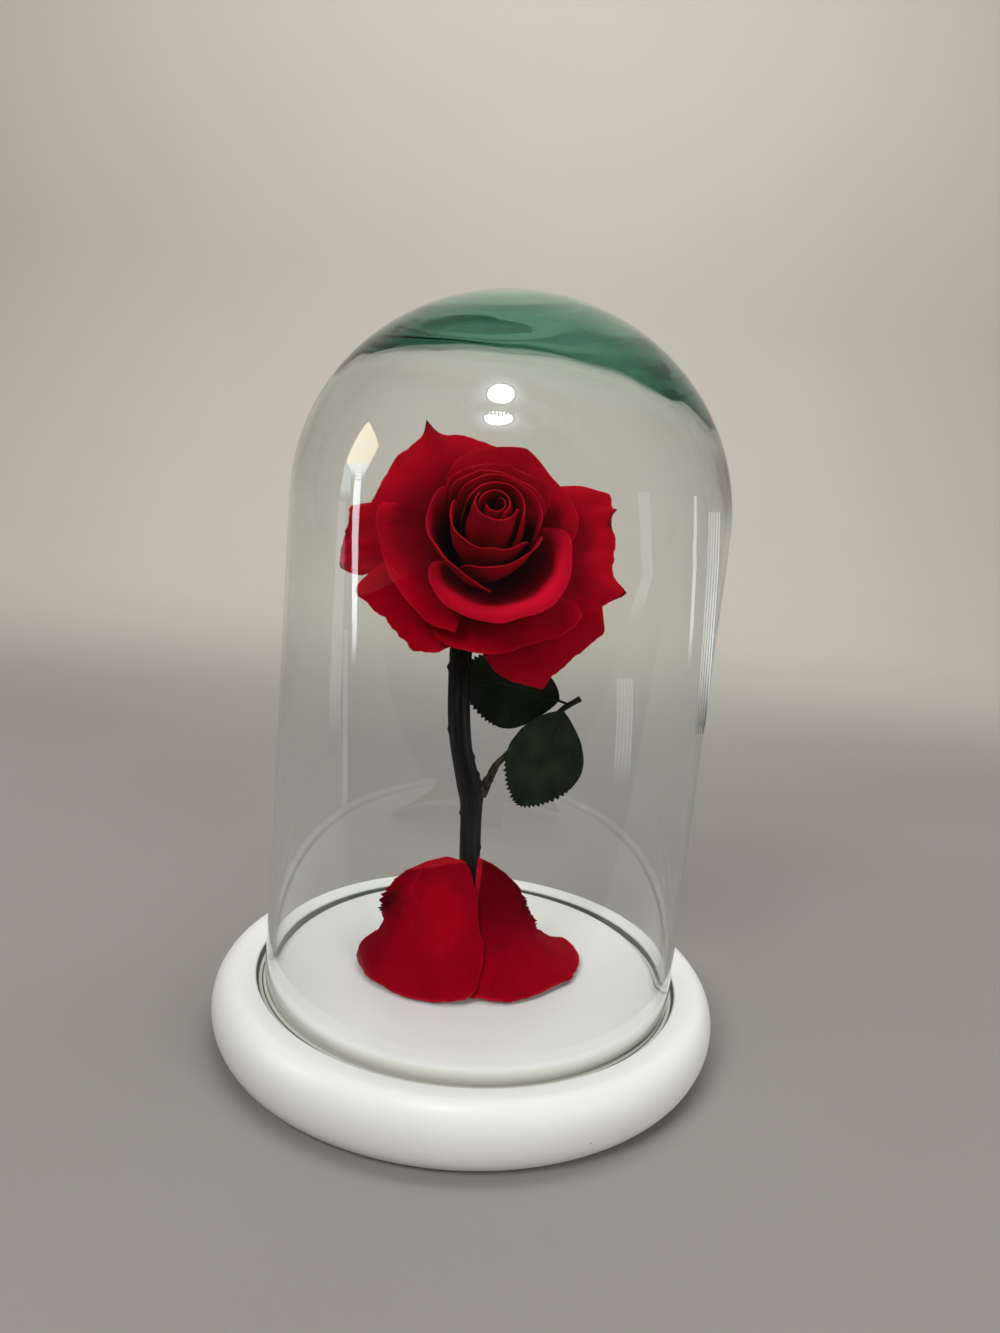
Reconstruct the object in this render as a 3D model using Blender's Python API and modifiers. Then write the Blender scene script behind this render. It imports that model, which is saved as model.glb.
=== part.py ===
"""A preserved rose under a glass dome, standing on a round painted base.

Metres, +Z up. The origin is the middle of the base's underside, and -Y is the front.
Every object is one separate piece. Lengths below are in millimetres, angles in degrees.
"""

import math

import bmesh
import bpy
from mathutils import Vector

MM = 0.001

# Base: one turned board with a rounded edge, a groove for the dome and a raised middle
BASE_RADIUS = 92.3
BASE_HEIGHT = 23.0
BASE_EDGE_DEPTH = 8.5
PLATEAU_TOP = 23.5
PLATEAU_FLAT_RADIUS = 67.5
PLATEAU_RADIUS = 71.6
GROOVE_FLOOR = 19.6
GROOVE_LIP_RADIUS = 77.6
GROOVE_LIP_HEIGHT = 22.2

# Dome: one blown glass piece, standing in the groove a little right of centre
DOME_RADIUS = 75.0
DOME_WALL = 2.2
DOME_CROWN_WALL = 16.3
DOME_CROWN_FULLNESS = 0.87
DOME_SHOULDER = 191.5
DOME_TOP = 264.3
DOME_OFFSET = 0.5
REST_GAP = 0.3

# Stem: up from the plateau, leaning back, then nodding forward into the bloom
STEM_ROUTE = (
    (-1.6, 0.0, 23.8, 4.0),
    (-2.6, 1.0, 45.0, 3.9),
    (-3.4, 2.0, 62.0, 3.85),
    (-4.8, 4.6, 82.0, 3.95),
    (-6.6, 6.2, 91.0, 4.25),
    (-10.4, 9.0, 104.0, 3.95),
    (-12.6, 12.4, 117.0, 4.1),
    (-13.6, 16.0, 129.0, 4.25),
    (-14.0, 18.6, 136.0, 4.5),
    (-14.2, 21.4, 143.0, 3.9),
    (-13.6, 24.0, 151.0, 3.9),
    (-12.4, 24.4, 158.0, 4.4),
)
HIP_NECK = (13.0, 4.6)
HIP_BELLY = (6.0, 7.4)
HIP_SHOULDER = (2.0, 9.6)
HIP_RADIUS = 10.0

# Bloom: the place where all petals start, and the way the flower looks
BLOOM_BASE = Vector((-9.0, 10.0, 170.0))
BLOOM_LIFT = 30.0
BLOOM_TURN = 6.0
PETAL_THICKNESS = 0.45
PETAL_START = 0.6
FOOT_RADIUS = 9.5
CURVE_REACH = 50.0
CURVE_STEPS = 24

# Each petal, in degrees and millimetres. round: where it stands in the flower (0 right,
# 90 up). half: half its width. open: how far it leans from the flower's axis. rise: how
# much less its two sides lean. twist: how much more one side leans than the other.
# length: foot to rim. blunt: how much shorter its sides are. tips: corners of the rim as
# (where, extra length, width). roll: how far the rim turns back, over roll_depth, less by
# roll_fade towards the sides
PETALS = {
    "bud_petal_1": dict(round=300, half=165, open=0.8, twist=0.3, length=46.5, blunt=0.03),
    "bud_petal_2": dict(round=60, half=150, open=2.6, twist=0.4, length=47.5, blunt=0.03),
    "bud_petal_3": dict(round=250, half=138, open=4.9, twist=0.4, length=48.5, blunt=0.04),
    "bud_petal_4": dict(round=70, half=120, open=7.4, twist=-0.4, length=47.0, blunt=0.06),
    "heart_petal_1": dict(round=240, half=106, open=10.2, twist=-0.2, length=44.0, blunt=0.08,
                          tips=((0.32, 2.5, 0.2),), roll=25, roll_depth=4.0),
    "heart_petal_2": dict(round=62, half=90, open=11.9, length=44.8, blunt=0.1, roll=25, roll_depth=4.0),
    "heart_petal_3": dict(round=297, half=68, open=13.9, rise=-0.6, length=42.0, blunt=0.16,
                          roll=30, roll_depth=4.0),
    "cup_petal_1": dict(round=82, half=70, open=16.1, length=43.0, blunt=0.12, roll=35, roll_depth=4.5),
    "cup_petal_2": dict(round=200, half=76, open=18.9, length=42.0, blunt=0.12, roll=25, roll_depth=5.0),
    "cup_petal_3": dict(round=296, half=92, open=33.6, rise=11.0, length=41.5, blunt=0.2,
                        roll=70, roll_depth=8.0, roll_fade=0.7),
    "cup_petal_4": dict(round=84, half=58, open=26.4, rise=1.0, twist=-2.2, length=40.5, blunt=0.12,
                        tips=((-0.05, 3.0, 0.2),), roll=30, roll_depth=6.0),
    "wide_petal_1": dict(round=64, half=62, open=42.6, rise=1.0, length=38.5, blunt=0.12,
                         tips=((0.12, 4.0, 0.2),), roll=25, roll_depth=8.0),
    "wide_petal_2": dict(round=208, half=46, open=52.4, length=34.0, blunt=0.0,
                         tips=((-0.92, 6.0, 0.4),), roll=30, roll_depth=7.0),
    "wide_petal_3": dict(round=286, half=46, open=66.0, twist=-3.0, length=32.2, blunt=0.0,
                         tips=((0.9, 6.0, 0.5),), roll=25, roll_depth=8.0),
    "outer_petal_1": dict(round=121, half=42, open=64.6, length=42.0, blunt=0.1,
                          tips=((-0.11, 7.5, 0.15),), roll=25, roll_depth=10.0),
    "outer_petal_2": dict(round=9, half=43, open=69.0, twist=-1.5, length=39.8, blunt=0.06,
                          tips=((0.56, 10.0, 0.24), (-0.5, 7.5, 0.16)), roll=30, roll_depth=10.0),
    "outer_petal_3": dict(round=221, half=33, open=81.0, length=34.5, blunt=0.08,
                          tips=((-0.6, 6.0, 0.25), (0.5, 2.0, 0.15)), roll=20, roll_depth=9.0),
    "outer_petal_4": dict(round=171, half=20, open=92.0, length=43.0, blunt=0.14,
                          tips=((-0.7, 5.0, 0.25), (0.6, 2.0, 0.3)), roll=15, roll_depth=9.0),
    "outer_petal_5": dict(round=318, half=34, open=101.0, length=39.5, blunt=0.1,
                          tips=((-1.0, -11.0, 0.32), (-0.5, 5.0, 0.18), (0.6, 7.0, 0.25)),
                          roll=15, roll_depth=9.0),
}
PETAL_COLUMNS = 9
PETAL_ROWS = 6

# Leaf twig: out of the stem, up to the fork of the two leaflets, and a cut end beyond it
TWIG_ROUTE = (
    (-0.3, 5.0, 89.4, 1.2),
    (0.9, 4.8, 94.0, 1.65),
    (2.3, 4.8, 97.8, 1.45),
    (4.4, 6.0, 100.9, 1.15),
    (9.8, 9.9, 105.8, 1.0),
    (16.0, 11.4, 111.6, 0.95),
    (23.6, 11.6, 119.0, 0.8),
    (26.9, 12.0, 122.4, 1.0),
    (29.6, 12.3, 123.9, 1.05),
    (32.2, 12.5, 125.6, 1.0),
)

# Leaflets: middle vein from stalk to point, half widths on each side, and their thickness
LEAF_THICKNESS = 0.5
LEAVES = {
    "lower_leaf": dict(
        vein=((26.4, 9.6, 120.6), (21.0, 7.4, 103.4), (12.9, 5.6, 84.6)),
        across=(0.94, 0.10, -0.33), left=14.0, right=15.8, widest=0.52, cup=1.6,
    ),
    "upper_leaf": dict(
        vein=((24.2, 13.6, 124.6), (5.2, 19.6, 126.8), (-14.4, 25.6, 126.6)),
        across=(0.12, 0.10, -0.99), left=14.0, right=17.0, widest=0.52, cup=2.0,
    ),
}
LEAF_COLUMNS = 4
LEAF_ROWS = 9

# Fallen petals: rows from the top of each petal down to where it lies, each from the
# middle crease outwards
FALLEN_THICKNESS = 0.5
FALLEN_PETALS = {
    "fallen_petal_left": (
        ((-4.6, -6.8, 66.6), (-9.0, -7.4, 68.8), (-15.5, -7.0, 68.0), (-22.0, -6.0, 64.4), (-27.0, -4.5, 60.0)),
        ((0.9, -9.0, 56.5), (-8.0, -10.0, 57.0), (-17.0, -9.0, 56.0), (-27.0, -7.0, 53.0), (-36.0, -4.5, 48.5)),
        ((3.0, -13.4, 44.5), (-7.0, -15.0, 44.0), (-18.0, -13.8, 43.5), (-27.5, -9.0, 42.0), (-35.0, -3.0, 41.0)),
        ((6.6, -21.6, 34.0), (-7.0, -24.0, 32.6), (-21.0, -21.0, 31.0), (-32.0, -12.5, 31.0), (-37.5, -1.0, 33.0)),
        ((8.6, -33.4, 25.2), (-6.0, -34.6, 24.8), (-25.0, -30.5, 24.2), (-39.0, -19.0, 24.2), (-44.6, 4.0, 25.0)),
    ),
    "fallen_petal_right": (
        ((-0.4, -4.8, 68.0), (3.2, -5.2, 67.0), (7.2, -4.4, 63.8), (11.5, -3.4, 59.8), (15.5, -2.4, 55.5)),
        ((-0.6, -7.2, 58.0), (5.6, -7.6, 56.4), (11.4, -6.4, 53.8), (16.6, -4.4, 51.2), (20.6, -1.6, 48.2)),
        ((0.6, -11.2, 45.5), (8.6, -11.4, 43.6), (15.6, -8.8, 42.0), (20.8, -4.4, 41.0), (24.2, 1.4, 39.5)),
        ((3.2, -18.6, 34.5), (12.4, -18.4, 32.5), (21.6, -13.6, 31.5), (28.0, -5.0, 31.0), (29.4, 7.5, 31.5)),
        ((1.0, -31.6, 24.2), (16.0, -31.6, 24.2), (33.0, -20.0, 24.2), (44.4, -3.0, 24.2), (38.5, 24.5, 25.0)),
    ),
}

TURN_STEPS = 40
CURVED_STEPS = 8


def new_material(name, colour, roughness, metallic=0.0, transmission=0.0):
    """A Principled finish of one colour."""
    material = bpy.data.materials.new(name)
    material.use_nodes = True
    shader = material.node_tree.nodes["Principled BSDF"]
    shader.inputs["Base Color"].default_value = (*colour, 1.0)
    shader.inputs["Roughness"].default_value = roughness
    shader.inputs["Metallic"].default_value = metallic
    shader.inputs["Transmission Weight"].default_value = transmission
    return material


def add_object(name, data, material):
    """Links a mesh or curve into the rose's collection with its finish."""
    data.materials.append(material)
    piece = bpy.data.objects.new(name, data)
    ROSE.objects.link(piece)
    return piece


def arc(centre, radii, start, end, count, fullness=1.0):
    """Points (radius, height) on part of an ellipse, angles in degrees. Under 1, it is fuller."""
    points = []
    for i in range(count + 1):
        angle = math.radians(start + (end - start) * i / count)
        across, up = math.cos(angle), math.sin(angle)
        points.append((centre[0] + radii[0] * math.copysign(abs(across) ** fullness, across),
                       centre[1] + radii[1] * math.copysign(abs(up) ** fullness, up)))
    return points


def turned(name, profile, material, offset=0.0):
    """A turned piece: the profile swept once round the upright axis."""
    mesh = bpy.data.meshes.new(name)
    work = bmesh.new()
    rim = [work.verts.new((radius * MM, 0.0, height * MM)) for radius, height in profile]
    for upper, lower in zip(rim, rim[1:]):
        work.edges.new((upper, lower))
    work.to_mesh(mesh)
    work.free()
    piece = add_object(name, mesh, material)
    piece.location.x = offset * MM
    screw = piece.modifiers.new("Turn", "SCREW")
    screw.steps = TURN_STEPS
    screw.render_steps = TURN_STEPS
    screw.use_merge_vertices = True
    screw.merge_threshold = 0.00001
    return piece


def make_base():
    """The board's outline, from the middle of the top down its outer side to the underside."""
    middle = BASE_HEIGHT / 2
    edge_centre = BASE_RADIUS - BASE_EDGE_DEPTH
    profile = [(0.0, PLATEAU_TOP)]
    profile += arc((PLATEAU_FLAT_RADIUS, GROOVE_FLOOR + 1.0),
                   (PLATEAU_RADIUS - PLATEAU_FLAT_RADIUS, PLATEAU_TOP - GROOVE_FLOOR - 1.0), 90, 0, 3)
    profile += [(PLATEAU_RADIUS, GROOVE_FLOOR), (GROOVE_LIP_RADIUS - 0.6, GROOVE_FLOOR)]
    profile += [(GROOVE_LIP_RADIUS, GROOVE_LIP_HEIGHT - 0.6), (GROOVE_LIP_RADIUS + 0.8, GROOVE_LIP_HEIGHT)]
    profile += arc((edge_centre, middle), (BASE_EDGE_DEPTH, middle), 90, -90, CURVED_STEPS)
    profile += [(0.0, 0.0)]
    return turned("base", profile, BASE_PAINT)


def make_dome():
    """The glass: down the outside, round the foot, and up the inside to the thick crown."""
    inner_radius = DOME_RADIUS - DOME_WALL
    foot = GROOVE_FLOOR + REST_GAP
    outer_rise = DOME_TOP - DOME_SHOULDER
    inner_rise = outer_rise - DOME_CROWN_WALL
    profile = arc((0.0, DOME_SHOULDER), (DOME_RADIUS, outer_rise), 90, 0, CURVED_STEPS)
    profile += [(DOME_RADIUS, foot + 0.8), (DOME_RADIUS - 0.8, foot), (inner_radius + 0.8, foot)]
    profile += [(inner_radius, foot + 0.8)]
    profile += arc((0.0, DOME_SHOULDER), (inner_radius, inner_rise), 0, 90, CURVED_STEPS,
                   DOME_CROWN_FULLNESS)
    profile[0] = (0.0, DOME_TOP)
    profile[-1] = (0.0, DOME_SHOULDER + inner_rise)
    return turned("glass_dome", profile, DOME_GLASS, offset=DOME_OFFSET)


def bloom_axes():
    """The bloom's own right, up and forward directions."""
    lift, turn = math.radians(BLOOM_LIFT), math.radians(BLOOM_TURN)
    forward = Vector((math.sin(turn) * math.cos(lift), -math.cos(turn) * math.cos(lift), math.sin(lift)))
    right = Vector((math.cos(turn), math.sin(turn), 0.0))
    return right, forward.cross(right), forward


def tube(name, route, material, roundness):
    """A round piece along a route of (x, y, z, radius) points, capped at both ends."""
    curve = bpy.data.curves.new(name, "CURVE")
    curve.dimensions = "3D"
    curve.bevel_depth = MM
    curve.bevel_resolution = roundness
    curve.use_fill_caps = True
    spline = curve.splines.new("POLY")
    spline.points.add(len(route) - 1)
    for point, (x, y, z, radius) in zip(spline.points, route):
        point.co = (x * MM, y * MM, z * MM, 1.0)
        point.radius = radius
    return add_object(name, curve, material)


def make_stem():
    """The stem and the hip that it grew, which carries the petals."""
    forward = bloom_axes()[2]
    hip = []
    for back, radius in (HIP_NECK, HIP_BELLY, HIP_SHOULDER, (0.0, HIP_RADIUS)):
        hip.append((*(BLOOM_BASE - forward * back), radius))
    return tube("stem", (*STEM_ROUTE, *hip), STEM_BARK, 4)


def smooth(x):
    """0 before 0, 1 after 1, and a smooth rise between."""
    x = min(max(x, 0.0), 1.0)
    return x * x * (3.0 - 2.0 * x)


def petal_point(shape, across, along):
    """A point of a petal: across runs from -1 to 1, along from 0 at its foot to 1 at its rim.

    Petals lie on a family of cups that open one outside the other, so that they never cross.
    """
    opening = shape["open"] + shape.get("twist", 0.0) * across - shape.get("rise", 0.0) * across * across
    reach = shape["length"] * (1.0 - shape["blunt"] * abs(across) ** 3)
    for tip_at, tip, tip_width in shape.get("tips", ()):
        reach += tip * math.exp(-(((across - tip_at) / tip_width) ** 2))
    roll = shape.get("roll", 0.0) * (1.0 - shape.get("roll_fade", 0.0) * across * across)
    roll_depth = shape.get("roll_depth", 1.0)
    curl = min(14.0 + 0.1 * opening, 16.0 - 0.62 * (opening - 20.0))
    radius, height = FOOT_RADIUS * (max(opening, 0.5) / 100.0) ** 0.45, PETAL_START
    step = along * reach / CURVE_STEPS
    for i in range(CURVE_STEPS):
        travelled = (i + 0.5) * step
        angle = opening + curl * math.cos(math.pi * min(travelled / CURVE_REACH, 1.0))
        angle += roll * smooth(1.0 - (reach - travelled) / roll_depth)
        radius += step * math.sin(math.radians(angle))
        height += step * math.cos(math.radians(angle))
    narrow = 0.5 + 0.5 * smooth(along / 0.45)
    turn = math.radians(shape["round"] + shape["half"] * across * narrow)
    right, up, forward = bloom_axes()
    outward = right * math.cos(turn) + up * math.sin(turn)
    return BLOOM_BASE + outward * radius + forward * height


def sheet(name, columns, rows, place, thickness, material):
    """A thin piece: a grid bent by place(across, along) and given its thickness."""
    mesh = bpy.data.meshes.new(name)
    work = bmesh.new()
    bmesh.ops.create_grid(work, x_segments=columns, y_segments=rows, size=1.0)
    for vertex in work.verts:
        vertex.co = place(vertex.co.x, (vertex.co.y + 1.0) / 2.0) * MM
    work.to_mesh(mesh)
    work.free()
    mesh.shade_smooth()
    piece = add_object(name, mesh, material)
    wall = piece.modifiers.new("Thickness", "SOLIDIFY")
    wall.thickness = thickness * MM
    wall.offset = 0.0
    return piece


def make_petals():
    """The bloom, one piece for each petal."""
    for name, shape in PETALS.items():
        sheet(name, PETAL_COLUMNS, PETAL_ROWS,
              lambda across, along, shape=shape: petal_point(shape, across, 1.0 - (1.0 - along) ** 1.25),
              PETAL_THICKNESS, PETAL_RED)


def leaf_point(shape, across, along):
    """A point of a leaflet: across from one edge to the other, along from stalk to point."""
    start, middle, end = (Vector(point) for point in shape["vein"])
    vein = start * (1 - along) ** 2 + middle * 2 * along * (1 - along) + end * along ** 2
    direction = ((middle - start) * (1 - along) + (end - middle) * along).normalized()
    sideways = Vector(shape["across"])
    sideways = (sideways - direction * sideways.dot(direction)).normalized()
    facing = direction.cross(sideways)
    power = math.log(0.5) / math.log(shape["widest"])
    swell = math.sin(math.pi * min(max(along, 0.0), 1.0) ** power) ** 0.75 if 0.0 < along < 1.0 else 0.0
    half = shape["left"] if across < 0 else shape["right"]
    width = max(half * swell, 0.35)
    return vein + sideways * width * across + facing * shape["cup"] * (across * across - 0.5) * swell


def make_leaves():
    """The leaf twig and its two leaflets."""
    tube("leaf_twig", TWIG_ROUTE, TWIG_BARK, 2)
    for name, shape in LEAVES.items():
        sheet(name, LEAF_COLUMNS, LEAF_ROWS,
              lambda across, along, shape=shape: leaf_point(shape, across, along),
              LEAF_THICKNESS, LEAF_GREEN)


def make_fallen_petals():
    """The two petals that stand against the foot of the stem and spread over the plateau."""
    for name, rows in FALLEN_PETALS.items():
        last_row, last_column = len(rows) - 1, len(rows[0]) - 1
        piece = sheet(name, last_column, last_row,
                      lambda across, along, rows=rows: Vector(
                          rows[round(along * last_row)][round((across + 1.0) / 2.0 * last_column)]),
                      FALLEN_THICKNESS, PETAL_RED)
        soft = piece.modifiers.new("Soft form", "SUBSURF")
        soft.levels = 1
        soft.render_levels = 1
        piece.modifiers.move(1, 0)


for leftover in list(bpy.data.objects):
    bpy.data.objects.remove(leftover, do_unlink=True)

ROSE = bpy.data.collections.new("rose_in_glass_dome")
bpy.context.scene.collection.children.link(ROSE)

BASE_PAINT = new_material("white satin paint", (0.82, 0.83, 0.82), 0.38)
DOME_GLASS = new_material("clear blown glass", (0.9, 0.96, 0.94), 0.02, transmission=1.0)
PETAL_RED = new_material("preserved red petal", (0.36, 0.004, 0.01), 0.6)
STEM_BARK = new_material("dark dyed stem", (0.014, 0.015, 0.016), 0.6)
TWIG_BARK = new_material("olive brown twig", (0.04, 0.036, 0.02), 0.75)
LEAF_GREEN = new_material("dark green leaf", (0.012, 0.024, 0.016), 0.5)

make_base()
make_dome()
make_stem()
make_petals()
make_leaves()
make_fallen_petals()
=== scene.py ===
"""A preserved rose under a glass dome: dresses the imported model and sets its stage.

Metres, +Z up, and -Y is the front. The tables below are in millimetres and degrees.
"""

import math

import bpy
from mathutils import Matrix, Vector, noise


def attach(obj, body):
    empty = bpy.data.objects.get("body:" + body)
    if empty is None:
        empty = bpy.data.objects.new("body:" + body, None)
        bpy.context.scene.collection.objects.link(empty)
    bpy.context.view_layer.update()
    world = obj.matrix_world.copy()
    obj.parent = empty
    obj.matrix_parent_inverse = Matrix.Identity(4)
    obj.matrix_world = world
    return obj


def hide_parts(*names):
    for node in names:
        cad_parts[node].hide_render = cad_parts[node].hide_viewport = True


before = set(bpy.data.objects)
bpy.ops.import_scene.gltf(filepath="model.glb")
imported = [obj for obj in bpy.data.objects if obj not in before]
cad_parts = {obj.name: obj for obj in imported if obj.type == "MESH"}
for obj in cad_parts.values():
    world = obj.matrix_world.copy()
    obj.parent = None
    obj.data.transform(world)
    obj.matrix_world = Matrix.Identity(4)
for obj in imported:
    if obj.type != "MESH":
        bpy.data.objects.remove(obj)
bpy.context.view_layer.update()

bl_info = {
    "name": "Rose under glass",
    "version": (1, 0, 0),
    "blender": (4, 5, 0),
    "location": "3D View > Sidebar > Rose",
    "description": "Builds a preserved rose under a glass dome, piece by piece",
    "category": "Object",
}

MM = 0.001

# Base: a turned board with a rounded edge, a groove for the dome and a raised middle
PLATEAU_FLAT_RADIUS = 67.5
PLATEAU_RADIUS = 71.6
GROOVE_FLOOR = 19.6
GROOVE_LIP_RADIUS = 77.6
GROOVE_LIP_HEIGHT = 22.2
BASE_EDGE_DEPTH = 8.5
# Painted shade over the plateau's rounded shoulder and the groove, then darker painted shadow for thin
# lines in the groove's corners
GROOVE_PAINTED_SHADE = (0.66, 0.65, 0.59)
GROOVE_PAINTED_SHADOW = (0.10, 0.10, 0.09)
GAP_WIDTH = 0.8
GAP_DEPTH = 2.5

# Dome: the crown's inner face is a flattened, slightly tilted pool of thick glass
DOME_SHOULDER = 191.5
DOME_OFFSET = 0.5
DOME_FOOT = 19.9
CROWN_LEFT = dict(rise=55.9, power=3.2)
CROWN_RIGHT = dict(rise=60.0, power=2.3)
THINNEST_CROWN = 1.5
GLASS_DENSITY = 17.0
GLASS_SHADOW = (0.99, 0.97, 0.977)
GLASS_BOUNCES = 24

# Stem: a route of (x, y, z, radius) points, then the hip behind the petals
STEM_ROUTE = (
    (-1.6, 0.0, 23.8, 4.0),
    (-2.6, 1.0, 45.0, 3.9),
    (-3.4, 2.0, 62.0, 3.85),
    (-4.8, 4.6, 82.0, 3.95),
    (-6.6, 6.2, 91.0, 4.25),
    (-10.4, 9.0, 104.0, 3.95),
    (-12.6, 12.4, 117.0, 4.1),
    (-13.6, 16.0, 129.0, 4.25),
    (-14.0, 18.6, 136.0, 4.5),
    (-14.2, 21.4, 143.0, 3.9),
    (-13.6, 24.0, 151.0, 3.9),
    (-12.4, 24.4, 158.0, 4.4),
)
HIP = ((13.0, 4.6), (6.0, 7.4), (2.0, 9.4), (0.3, 9.7))
STEM_COLLAR = 0.703
STEM_NODE = 0.41
STEM_SPURS = ((0.45, 1.5), (0.49, 1.6), (0.36, -1.4), (0.56, -1.5), (0.28, 1.2))
TWIG_ROUTE = (
    (-2.4, 5.4, 87.4, 2.3),
    (-0.9, 5.1, 89.4, 2.1),
    (0.6, 4.8, 93.4, 1.6),
    (2.3, 4.8, 97.8, 1.4),
    (4.4, 6.0, 100.9, 1.15),
    (9.8, 9.9, 105.8, 1.0),
    (16.0, 11.4, 111.6, 0.95),
    (23.6, 11.6, 119.0, 0.9),
    (26.9, 12.0, 122.0, 1.1),
    (29.6, 12.3, 123.9, 1.1),
    (32.2, 12.5, 125.6, 1.15),
)

# Bloom: where all petals start, and the family of cups that they lie on
BLOOM_BASE = Vector((-9.0, 10.0, 170.0))
BLOOM_LIFT = 30.0
BLOOM_TURN = 6.0
BUD_SHIFT = 2.6
BUD_RADIUS = 13.0
PETAL_START = 0.6
FOOT_RADIUS = 9.5
CURVE_REACH = 50.0
CURVE_STEPS = 24
PETAL_SWAY = 1.6
PETAL_COLUMNS = 52
PETAL_ROWS = 36

# Each petal. round: where it stands in the flower (0 right, 90 up). half: half its width.
# open: how far it leans from the flower's axis. rise: how much less its two sides lean.
# twist: how much more one side leans than the other. length: foot to rim. blunt: how much
# shorter its sides are. corner: how far its corners are rounded off. tips: points of the rim
# as (where, extra length, width). bulge: how far its first side swells. roll: how far the rim
# turns back, over roll_depth, less by roll_fade towards the sides. frill and ragged: the waves
# and the small bites of its rim. dry: browned spots and a few spots of painted shade under
# rolled strips, as (where across, where along, size, strength). fresh: painted highlight on its rolled rim
PETALS = {
    "bud_petal_1": dict(round=300, half=165, open=0.7, twist=0.3, length=46.5, blunt=0.03),
    "bud_petal_2": dict(round=60, half=150, open=2.3, twist=0.4, length=47.5, blunt=0.03),
    "bud_petal_3": dict(round=250, half=138, open=4.3, twist=0.4, length=48.5, blunt=0.04),
    "bud_petal_4": dict(round=70, half=120, open=6.6, twist=-0.4, length=47.0, blunt=0.06),
    "heart_petal_1": dict(
        round=240, half=106, open=10.2, twist=-0.2, length=43.4, blunt=0.08, tips=((0.27, 3.6, 0.16),),
        roll=25, roll_depth=4.0),
    "heart_petal_2": dict(round=62, half=90, open=11.9, length=44.8, blunt=0.1, roll=25, roll_depth=4.0),
    "heart_petal_3": dict(
        round=297, half=68, open=13.9, rise=-0.6, length=42.0, blunt=0.16, roll=30, roll_depth=4.0),
    "cup_petal_1": dict(
        round=82, half=70, open=15.7, length=42.6, blunt=0.12, tips=((0.35, 1.5, 0.1), (-0.5, 1.5, 0.12)),
        roll=35, roll_depth=4.5),
    "cup_petal_2": dict(round=200, half=76, open=18.9, length=42.0, blunt=0.12, roll=25, roll_depth=5.0),
    # Its broad rolled rim gets a painted highlight, where it faces up into the light
    "cup_petal_3": dict(
        round=294, half=92, open=32.6, rise=10.5, length=40.8, blunt=0.2, roll=80, roll_depth=9.0,
        roll_fade=0.7, painted_highlight=0.85),
    "cup_petal_4": dict(
        round=84, half=58, open=24.6, rise=1.0, twist=-2.2, length=39.3, blunt=0.12,
        tips=((-0.1, 1.6, 0.07), (-0.6, 4.0, 0.25)), roll=30, roll_depth=6.0),
    "wide_petal_1": dict(
        round=64, half=62, open=42.6, rise=1.0, length=38.5, blunt=0.12, tips=((0.12, 4.0, 0.2),),
        roll=25, roll_depth=8.0, frill=1.0, corner=0.15),
    "wide_petal_2": dict(
        round=208, half=46, open=52.4, length=34.0, blunt=0.0, bulge=20.0, tips=((-0.92, 6.0, 0.4),),
        roll=30, roll_depth=7.0, frill=1.0, corner=0.04),
    "wide_petal_3": dict(
        round=286, half=46, open=66.0, twist=-3.0, length=32.2, blunt=0.0, tips=((0.9, 6.0, 0.5),),
        roll=25, roll_depth=8.0, frill=1.5, ragged=0.3, corner=0.12),
    "outer_petal_1": dict(
        round=121, half=42, open=64.6, length=42.0, blunt=0.1,
        tips=((-0.115, 5.0, 0.045), (-0.06, 3.4, 0.2), (0.32, 1.5, 0.15), (1.0, 2.5, 0.12)), roll=25,
        roll_depth=10.0, frill=2.0, ragged=0.5, corner=0.03,
        dry_and_shade=((-0.12, 1.0, 0.1, 0.9), (-0.16, 0.9, 0.2, 0.42))),
    "outer_petal_2": dict(
        round=9, half=43, open=69.0, twist=-1.5, length=39.8, blunt=0.06,
        tips=((0.58, 10.0, 0.26), (0.38, 3.5, 0.03), (0.05, 2.5, 0.3), (-0.5, 7.5, 0.12)), roll=30,
        roll_depth=10.0, frill=3.0, ragged=0.8, corner=0.1,
        # The spots at 0.38 and 0.26 across are painted shade under torn, rolled strips of the rim
        dry_and_shade=((-0.5, 1.0, 0.1, 0.9), (0.38, 1.0, 0.1, 0.8), (0.26, 0.96, 0.12, 0.7))),
    "outer_petal_3": dict(
        round=221, half=33, open=81.0, length=34.5, blunt=0.08,
        tips=((-0.6, 6.0, 0.25), (0.5, 2.0, 0.15)), roll=20, roll_depth=9.0, frill=2.5, ragged=0.9,
        corner=0.12, dry_and_shade=((-0.6, 1.0, 0.16, 0.6),)),
    "outer_petal_4": dict(
        round=171, half=20, open=92.0, length=43.0, blunt=0.14, tips=((-0.7, 5.0, 0.25), (0.6, 2.0, 0.3)),
        roll=15, roll_depth=9.0, frill=3.5, ragged=1.2, corner=0.05,
        dry_and_shade=((0.0, 1.0, 0.3, 0.5), (0.7, 1.0, 0.15, 0.7))),
    "outer_petal_5": dict(
        round=314, half=41, open=101.0, length=39.5, blunt=0.08,
        tips=((-1.0, -9.0, 0.3), (-0.34, 4.5, 0.1), (0.6, 6.5, 0.2)), roll=15, roll_depth=9.0, frill=2.5,
        ragged=0.8, corner=0.05, dry_and_shade=((-0.34, 1.0, 0.1, 0.6),)),
}

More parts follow.
